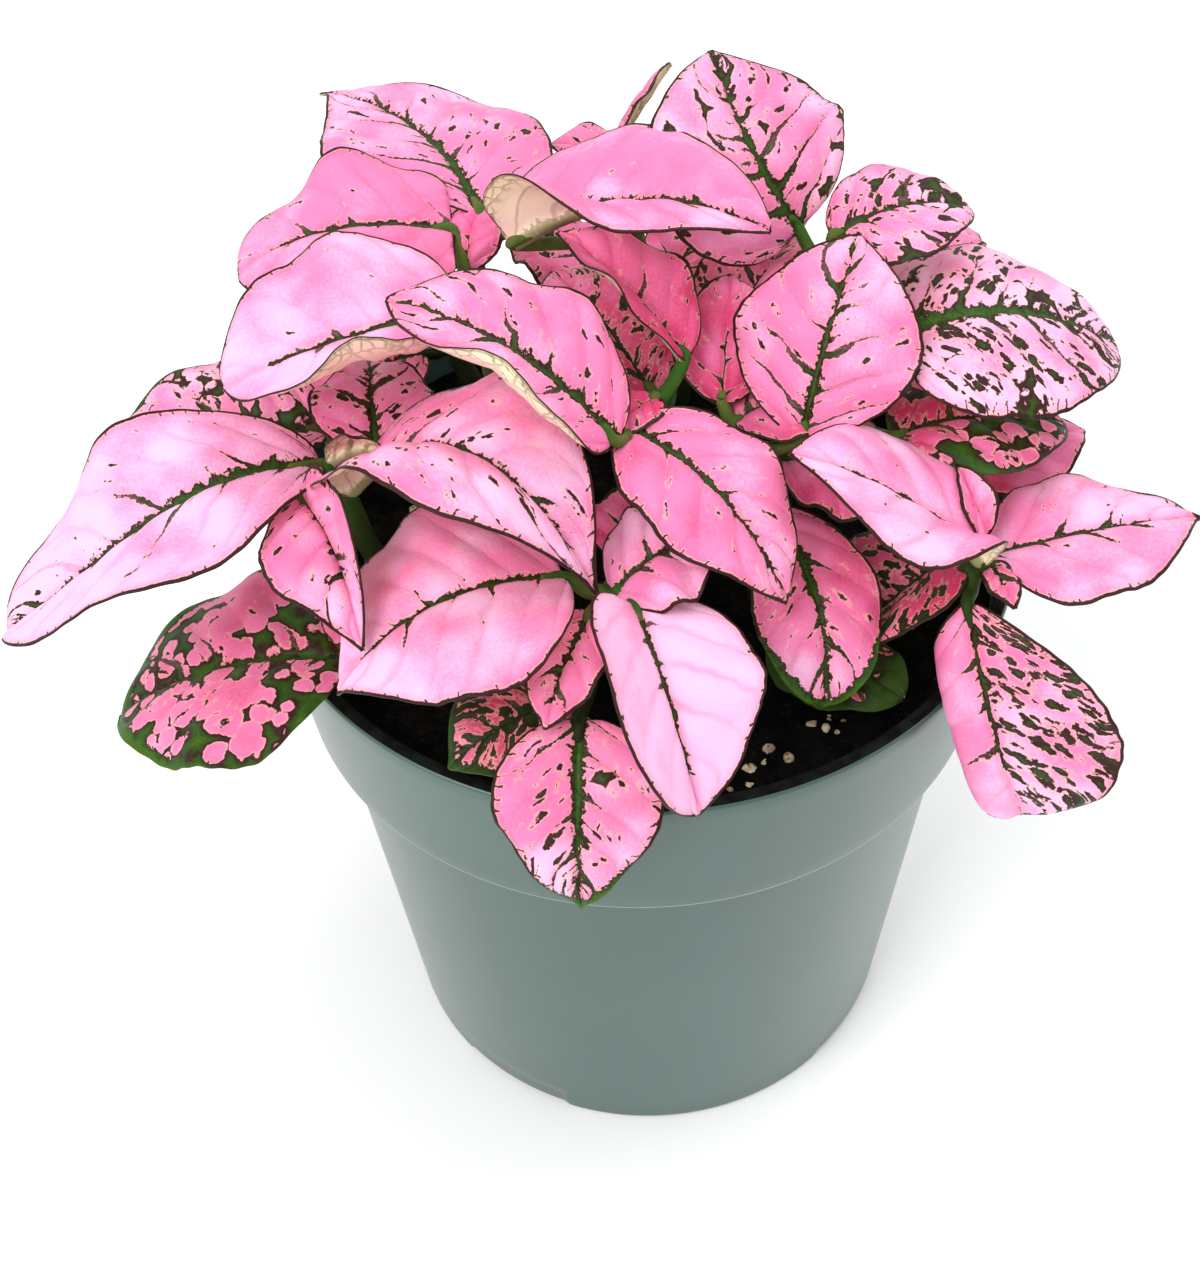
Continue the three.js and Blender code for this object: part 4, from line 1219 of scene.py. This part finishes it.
def add_hairs(shape, path, radius, count, seed):
    """Thin spikes that stand out from a tube at random places."""
    rng = np.random.default_rng(seed)
    ahead = unit(np.gradient(path, axis=0))
    spot = rng.uniform(0, len(path) - 1.001, count)
    i, t = spot.astype(int), (spot % 1)[:, None]
    centre = path[i] * (1 - t) + path[i + 1] * t
    ahead = ahead[i]
    aside = unit(np.cross(ahead, unit(rng.normal(size=(count, 3)))))
    out = unit(aside + 0.35 * ahead * rng.normal(size=(count, 1)))
    base = centre + aside * radius[i][:, None] * 0.95
    across = unit(np.cross(out, ahead))
    third = unit(np.cross(out, across))
    turn = np.array([0, 2, 4])[None, :, None] * np.pi / 3
    spokes = np.cos(turn) * across[:, None] + np.sin(turn) * third[:, None]
    foot = base[:, None] + HAIR_RADIUS * spokes
    tip = base + out * HAIR_LENGTH * rng.uniform(0.5, 1.1, (count, 1))
    points = np.concatenate([foot, tip[:, None]], 1)
    faces = np.array([[0, 1, 3], [1, 2, 3], [2, 0, 3], [0, 2, 1]])
    numbers = faces[None] + 4 * np.arange(count)[:, None, None]
    shape.add(points, [numbers.reshape(-1, 3)], STEM)


def add_stem(shape, points):
    """A stem tapers from the soil up, and only what stands above the soil has hairs."""
    path = smooth_path(points, 48)
    radius = STEM_RADIUS * np.linspace(1.05, 0.8, len(path))
    add_tube(shape, path, radius, 14)
    above_soil = path[path[:, 2] > SOIL_EDGE + 1]
    add_hairs(shape, above_soil, radius[-len(above_soil):], HAIRY_STEM * HAIRS_PER_MM, 31)


def add_stalk(shape, row, start, seed):
    """A stalk sags a little from the stem to the blade, and runs on under the midrib."""
    middle = (start + row["root"]) / 2 - (0, 0, STALK_SAG)
    under = midrib_curve(row, np.array([STALK_UNDER_BLADE]))[0][0] - (0, 0, 0.15)
    path = smooth_path([start, middle, row["root"], under], 22)
    radius = STALK_RADIUS * np.linspace(1.0, 0.6, len(path))
    add_tube(shape, path, radius, 12)
    length = np.linalg.norm(row["root"] - start)
    add_hairs(shape, path, radius, int(length * HAIRS_PER_MM) + 4, seed)


print("hairs on one stem:", HAIRY_STEM * HAIRS_PER_MM)

# %% [markdown]
# ## Pattern of a leaf
#
# The green of this plant is what is left of an ordinary leaf: it stays along the midrib, sends
# short spurs out along the side veins, and breaks up into dots and patches. The rest has lost its
# green and shows pink. The pattern is computed in mm on the blade. Each kind of mark is a number
# that is above 0 inside the mark and falls off outside it, so the marks join with a maximum. An
# image painted on the blade would look stretched where the blade bends, and this doesn't.

# %% Leaf markings
SEED_SPACING = 90


def blade_place(tree):
    """A place on the blade to read noise at, and the distance in mm to the blade's edge.

    The place is mm along the blade, mm across it and a number that differs from leaf to leaf.
    """
    along, across, edge = start(tree, "leaf_mm").parts()
    seed = start(tree, "leaf_net").parts()[2]
    return along.joined(across, seed * SEED_SPACING), edge


def spurs(order, spacing, across, branch, own, times, reach, width):
    """Green spurs along the side veins: each tapers to nothing at a length of its own.

    With times above 1 there are spurs between the side veins as well.
    """
    right = across.above(0)
    lane = order * times + right * 0.5
    chance = lane.floor().joined(right, own + times).luck()
    length = branch * (chance * chance * reach + reach * 0.15)
    away = (lane.fraction() - 0.5).size() * spacing / times
    return (1 - across.size() / length) * width - away


def markings_group():
    """Green marks of a leaf, from the attributes that its mesh carries.

    Mark is about the distance in mm inside the nearest green mark, and negative outside. Vein is
    the distance to the nearest side vein, and Cloud is slow noise round 0.
    """
    group, _, send = new_group("Leaf markings", {}, {
        "Mark": "Float", "Vein": "Float", "Cloud": "Float"})
    place, edge = blade_place(group)
    along, across, own = place.parts()
    order, spacing = start(group, "leaf_net").parts()[:2]
    share, _, lopsided = start(group, "leaf_share").parts()
    midrib, branch, tip = start(group, "leaf_lines").parts()
    specks, blotch = start(group, "leaf_spots").parts()[:2]
    aside = across.size()
    cloud = place.noise(0.22, 2) - 0.5
    ragged = (place.noise(1.1, 2) - 0.5) * 0.8 + (place.noise(3.4, 3, 0.65) - 0.5) * 0.95
    wavy = order + (place.noise(0.5, 1) - 0.5) * 0.5
    vein = ((wavy + across.above(0) * 0.5).fraction() - 0.5).size() * spacing

    # A band along the midrib and spurs from it, which both stop early where there is little green.
    width = midrib * (1.03 - share).most(0).power(0.6) * 0.46
    middle = width + ragged * 0.95 * midrib - aside - (share - 0.3 - midrib * 0.7).most(0) * 5
    main = spurs(wavy, spacing, across, branch, own, 1, 6.0, 0.42)
    small = spurs(wavy, spacing, across, branch, own, 3, 1.7, 0.2)
    stop = (share - 0.25 - midrib * 0.75).most(0) * 5
    side = main.most(small) + ragged * 0.6 - 0.04 - stop

    # Dots, a little longer along the side veins: a random number of each cell decides its size.
    leaning = specks * (1 + lopsided * (across.rise(-0.6, 0.6) * 2 - 1))
    strewn = (wavy * spacing).joined(aside * 0.6, across.above(0) * 7 + own).shaken(1.5, 0.7)
    present = strewn.cells(1.6, output=1).parts()[0] - 1 + leaning * 1.1
    radius = present.above(0) * 0.09 + present.least(0.6) * 0.42
    dots = radius + ragged * 0.42 - strewn.cells(1.6) * 0.62

    # Large patches where slow noise is high, more of them close to the midrib and to the edge.
    region = 0.5 + cloud * 2.6 + (1 - aside / 3).most(0) * 0.35 + (1 - edge / 1.2).most(0) * 0.45
    bubbles = place.shaken(1.6, 0.4).cells(0.8) * 1.25
    patches = (bubbles - 1.2 + region * blotch * 0.95 + ragged * 0.22
               - (0.1 - blotch).most(0) * 9)

    # A green end, and a thin dark rim with short ticks that run in from the edge.
    end = tip * 1.1 - (1 - share) * 2.8 + ragged * 1.2 - edge - (0.1 - tip).most(0) * 9
    tick = along * 1.5 + ragged * 0.6
    chance = tick.floor().joined(across.above(0), own + 5).luck()
    ticks = (0.1 - (tick.fraction() - 0.5).size()).least(chance * 0.5 + chance * specks * 0.8 - edge)
    rim = (0.24 + ragged * 0.16 - edge).most(ticks).least(0.11)
    send("Mark", middle.most(side).most(dots).most(patches).most(end).most(rim))
    send("Vein", vein)
    send("Cloud", cloud)
    return group


MARKINGS = markings_group()


def markings(tree):
    """Mark, Vein and Cloud of the group, as fields of a material."""
    node = tree.nodes.new("ShaderNodeGroup")
    node.node_tree = MARKINGS
    return [Field(tree, output) for output in node.outputs]


print("markings group:", len(MARKINGS.nodes), "nodes")

# %% [markdown]
# The upper side is matt with a soft sheen. Its pink runs from a hot rose in the youngest leaves to
# a pale lilac in the oldest. The deeper rose of low and inner leaves, and towards the root of each
# leaf, is partly painted shade, and so is the darker green of leaves with little pale. The side veins
# and the midrib show as rose creases, and the edge as a rose band, both painted shade. Green marks
# have a thin cream fringe where the two colours meet. Thin marks and rims let the pink through and
# look maroon brown, and thick ones are a dull dark green. The underside is cream with an olive net of
# veins. Stems and stalks are green, and darker towards the soil, partly as the colour of an older
# stem and partly as painted shade under the leaves.

# %% Leaf materials
ROSE, PINK, LILAC = colour(212, 60, 110), colour(240, 127, 177), colour(250, 192, 230)
CREAM, DARK, GREEN = colour(248, 204, 170), colour(50, 19, 15), colour(40, 72, 8)
LIGHT_GREEN, FRESH_GREEN, SHADED_GREEN = colour(62, 104, 14), colour(78, 110, 22), colour(28, 42, 16)
OLIVE, OLIVE_STAIN = colour(104, 112, 40), colour(110, 122, 50)


def upper_look(tree):
    """Pink ground, painted shade in the creases and at the edge, cream fringes and green marks, laid over
    each other in this order.
    """
    mark, vein, cloud = markings(tree)
    place, edge = blade_place(tree)
    across = place.parts()[1]
    share, pale = start(tree, "leaf_share").parts()[:2]
    fine = place.noise(5, 2)
    # The deeper rose towards the root, and on leaves with little pale, is partly painted shade.
    paleness = pale * 0.9 + cloud * 1.3 + (share - 0.35) * 0.3 + (fine - 0.5) * 0.3
    ground = paleness.rise(0.45, 1).tint(paleness.rise(-0.15, 0.45).tint(ROSE, PINK), LILAC)
    # Painted shade: a deeper rose in the creases over the side veins and the midrib, and towards the edge.
    painted_crease_shade = vein.rise(0.5, 0) * (cloud * 0.7 + 0.14) + across.size().rise(0.7, 0) * 0.3
    painted_crease_shade = painted_crease_shade.most(edge.rise(1, 0) * 0.4)
    ground = painted_crease_shade.tint(ground, ROSE)
    ground = (mark.rise(-0.14, 0) * 0.4).tint(ground, CREAM)
    green = mark.rise(0.1, 0.31).tint(DARK, GREEN)
    green = (mark.rise(0.3, 0.8) * 0.8).tint(green, LIGHT_GREEN)
    green = (fine.rise(0.5, 0.65) * mark.rise(0.2, 0.5) * 0.3).tint(green, FRESH_GREEN)
    # Painted shade: the green of leaves with little pale is darkened.
    green = (pale.rise(0.3, 0) * 0.6).tint(green, SHADED_GREEN)
    tone = mark.rise(-0.015, 0.045).tint(ground, green)
    net = place.cells(0.9, "DISTANCE_TO_EDGE").rise(0, 0.12)
    return {"Base Color": tone, "Roughness": fine * 0.2 + 0.4,
            "Height": net * 0.25 + fine * 0.45 + vein.rise(0, 0.25) * 0.4}


def under_look(tree):
    """Cream ground, with the marks showing through as olive stains under a net of veins."""
    mark, vein, cloud = markings(tree)
    place, edge = blade_place(tree)
    across = place.parts()[1]
    ground = cloud.rise(-0.15, 0.2).tint(colour(255, 222, 208), colour(255, 244, 200))
    ground = (mark.rise(-0.06, 0.12) * 0.6).tint(ground, OLIVE_STAIN)
    net = place.shaken(1, 0.5).cells(1.1, "DISTANCE_TO_EDGE").rise(0.12, 0)
    strand = (vein.rise(0.18, 0.06) * 0.6).most(across.size().rise(0.45, 0.2))
    strand = strand.most(net * edge.rise(2.4, 0.4))
    tone = (strand * 0.5).tint(ground, OLIVE)
    return {"Base Color": tone, "Height": strand + place.noise(5, 2) * 0.4}


def stem_look(tree):
    """Two greens in slow clouds, darker towards the soil."""
    height, cloud = grain(tree, 5.0, 0.35, 0.5)
    level = start(tree).parts()[2] / MM
    tone = cloud.rise(0.35, 0.65).tint(colour(52, 92, 26), colour(96, 104, 48))
    # Darker towards the soil: partly the colour of an older stem, partly painted shade under the leaves.
    tone = level.rise(62, 52).tint(tone, colour(30, 40, 16))
    return {"Base Color": tone, "Height": height}


LEAF_MATERIALS = [
    new_material("leaf upper side", upper_look, bump=(0.35, 0.12), Specular_IOR_Level=0.22),
    new_material("leaf underside", under_look, bump=(0.4, 0.12), Roughness=0.6,
                 Specular_IOR_Level=0.3),
    new_material("green stem", stem_look, bump=(0.3, 0.08), Roughness=0.5, Specular_IOR_Level=0.12),
]
print("materials of a shoot:", ", ".join(material.name for material in LEAF_MATERIALS))

# %% [markdown]
# ## The shoots
#
# Each shoot is one piece: its stem, and for every leaf a stalk and a blade. A real shoot grows as
# one piece too, and one piece takes the place of one solid.

# %% Shoots
def add_shoot(name, number):
    """The piece of one shoot; the number only sets the random parts of its leaves."""
    stem, leaves = SHOOTS[name]
    x, y = stem[0][:2]
    points = np.array([(x, y, STEM_FLOOR), *stem], float)
    shape = Shape()
    add_stem(shape, points)
    for i, row in enumerate(leaves):
        add_stalk(shape, row, points[row["joint"]], 100 * number + i)
        add_blade(shape, row, (10 * number + i) / 100)
    shape.piece(name, LEAF_MATERIALS, name, "leaf")


for number, name in enumerate(SHOOTS):
    add_shoot(name, number)

# %% [markdown]
# ## Sizes
#
# The box round all pieces is compared with the box of the solid model, and both are written down.

# %% Sizes and end
shown_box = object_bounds()
for axis in range(3):
    solid_side = solid_box[1][axis] - solid_box[0][axis]
    shown_side = shown_box[1][axis] - shown_box[0][axis]
    print("xyz"[axis], f"side {shown_side / MM:.2f} mm, {100 * (shown_side / solid_side - 1):+.2f} %")
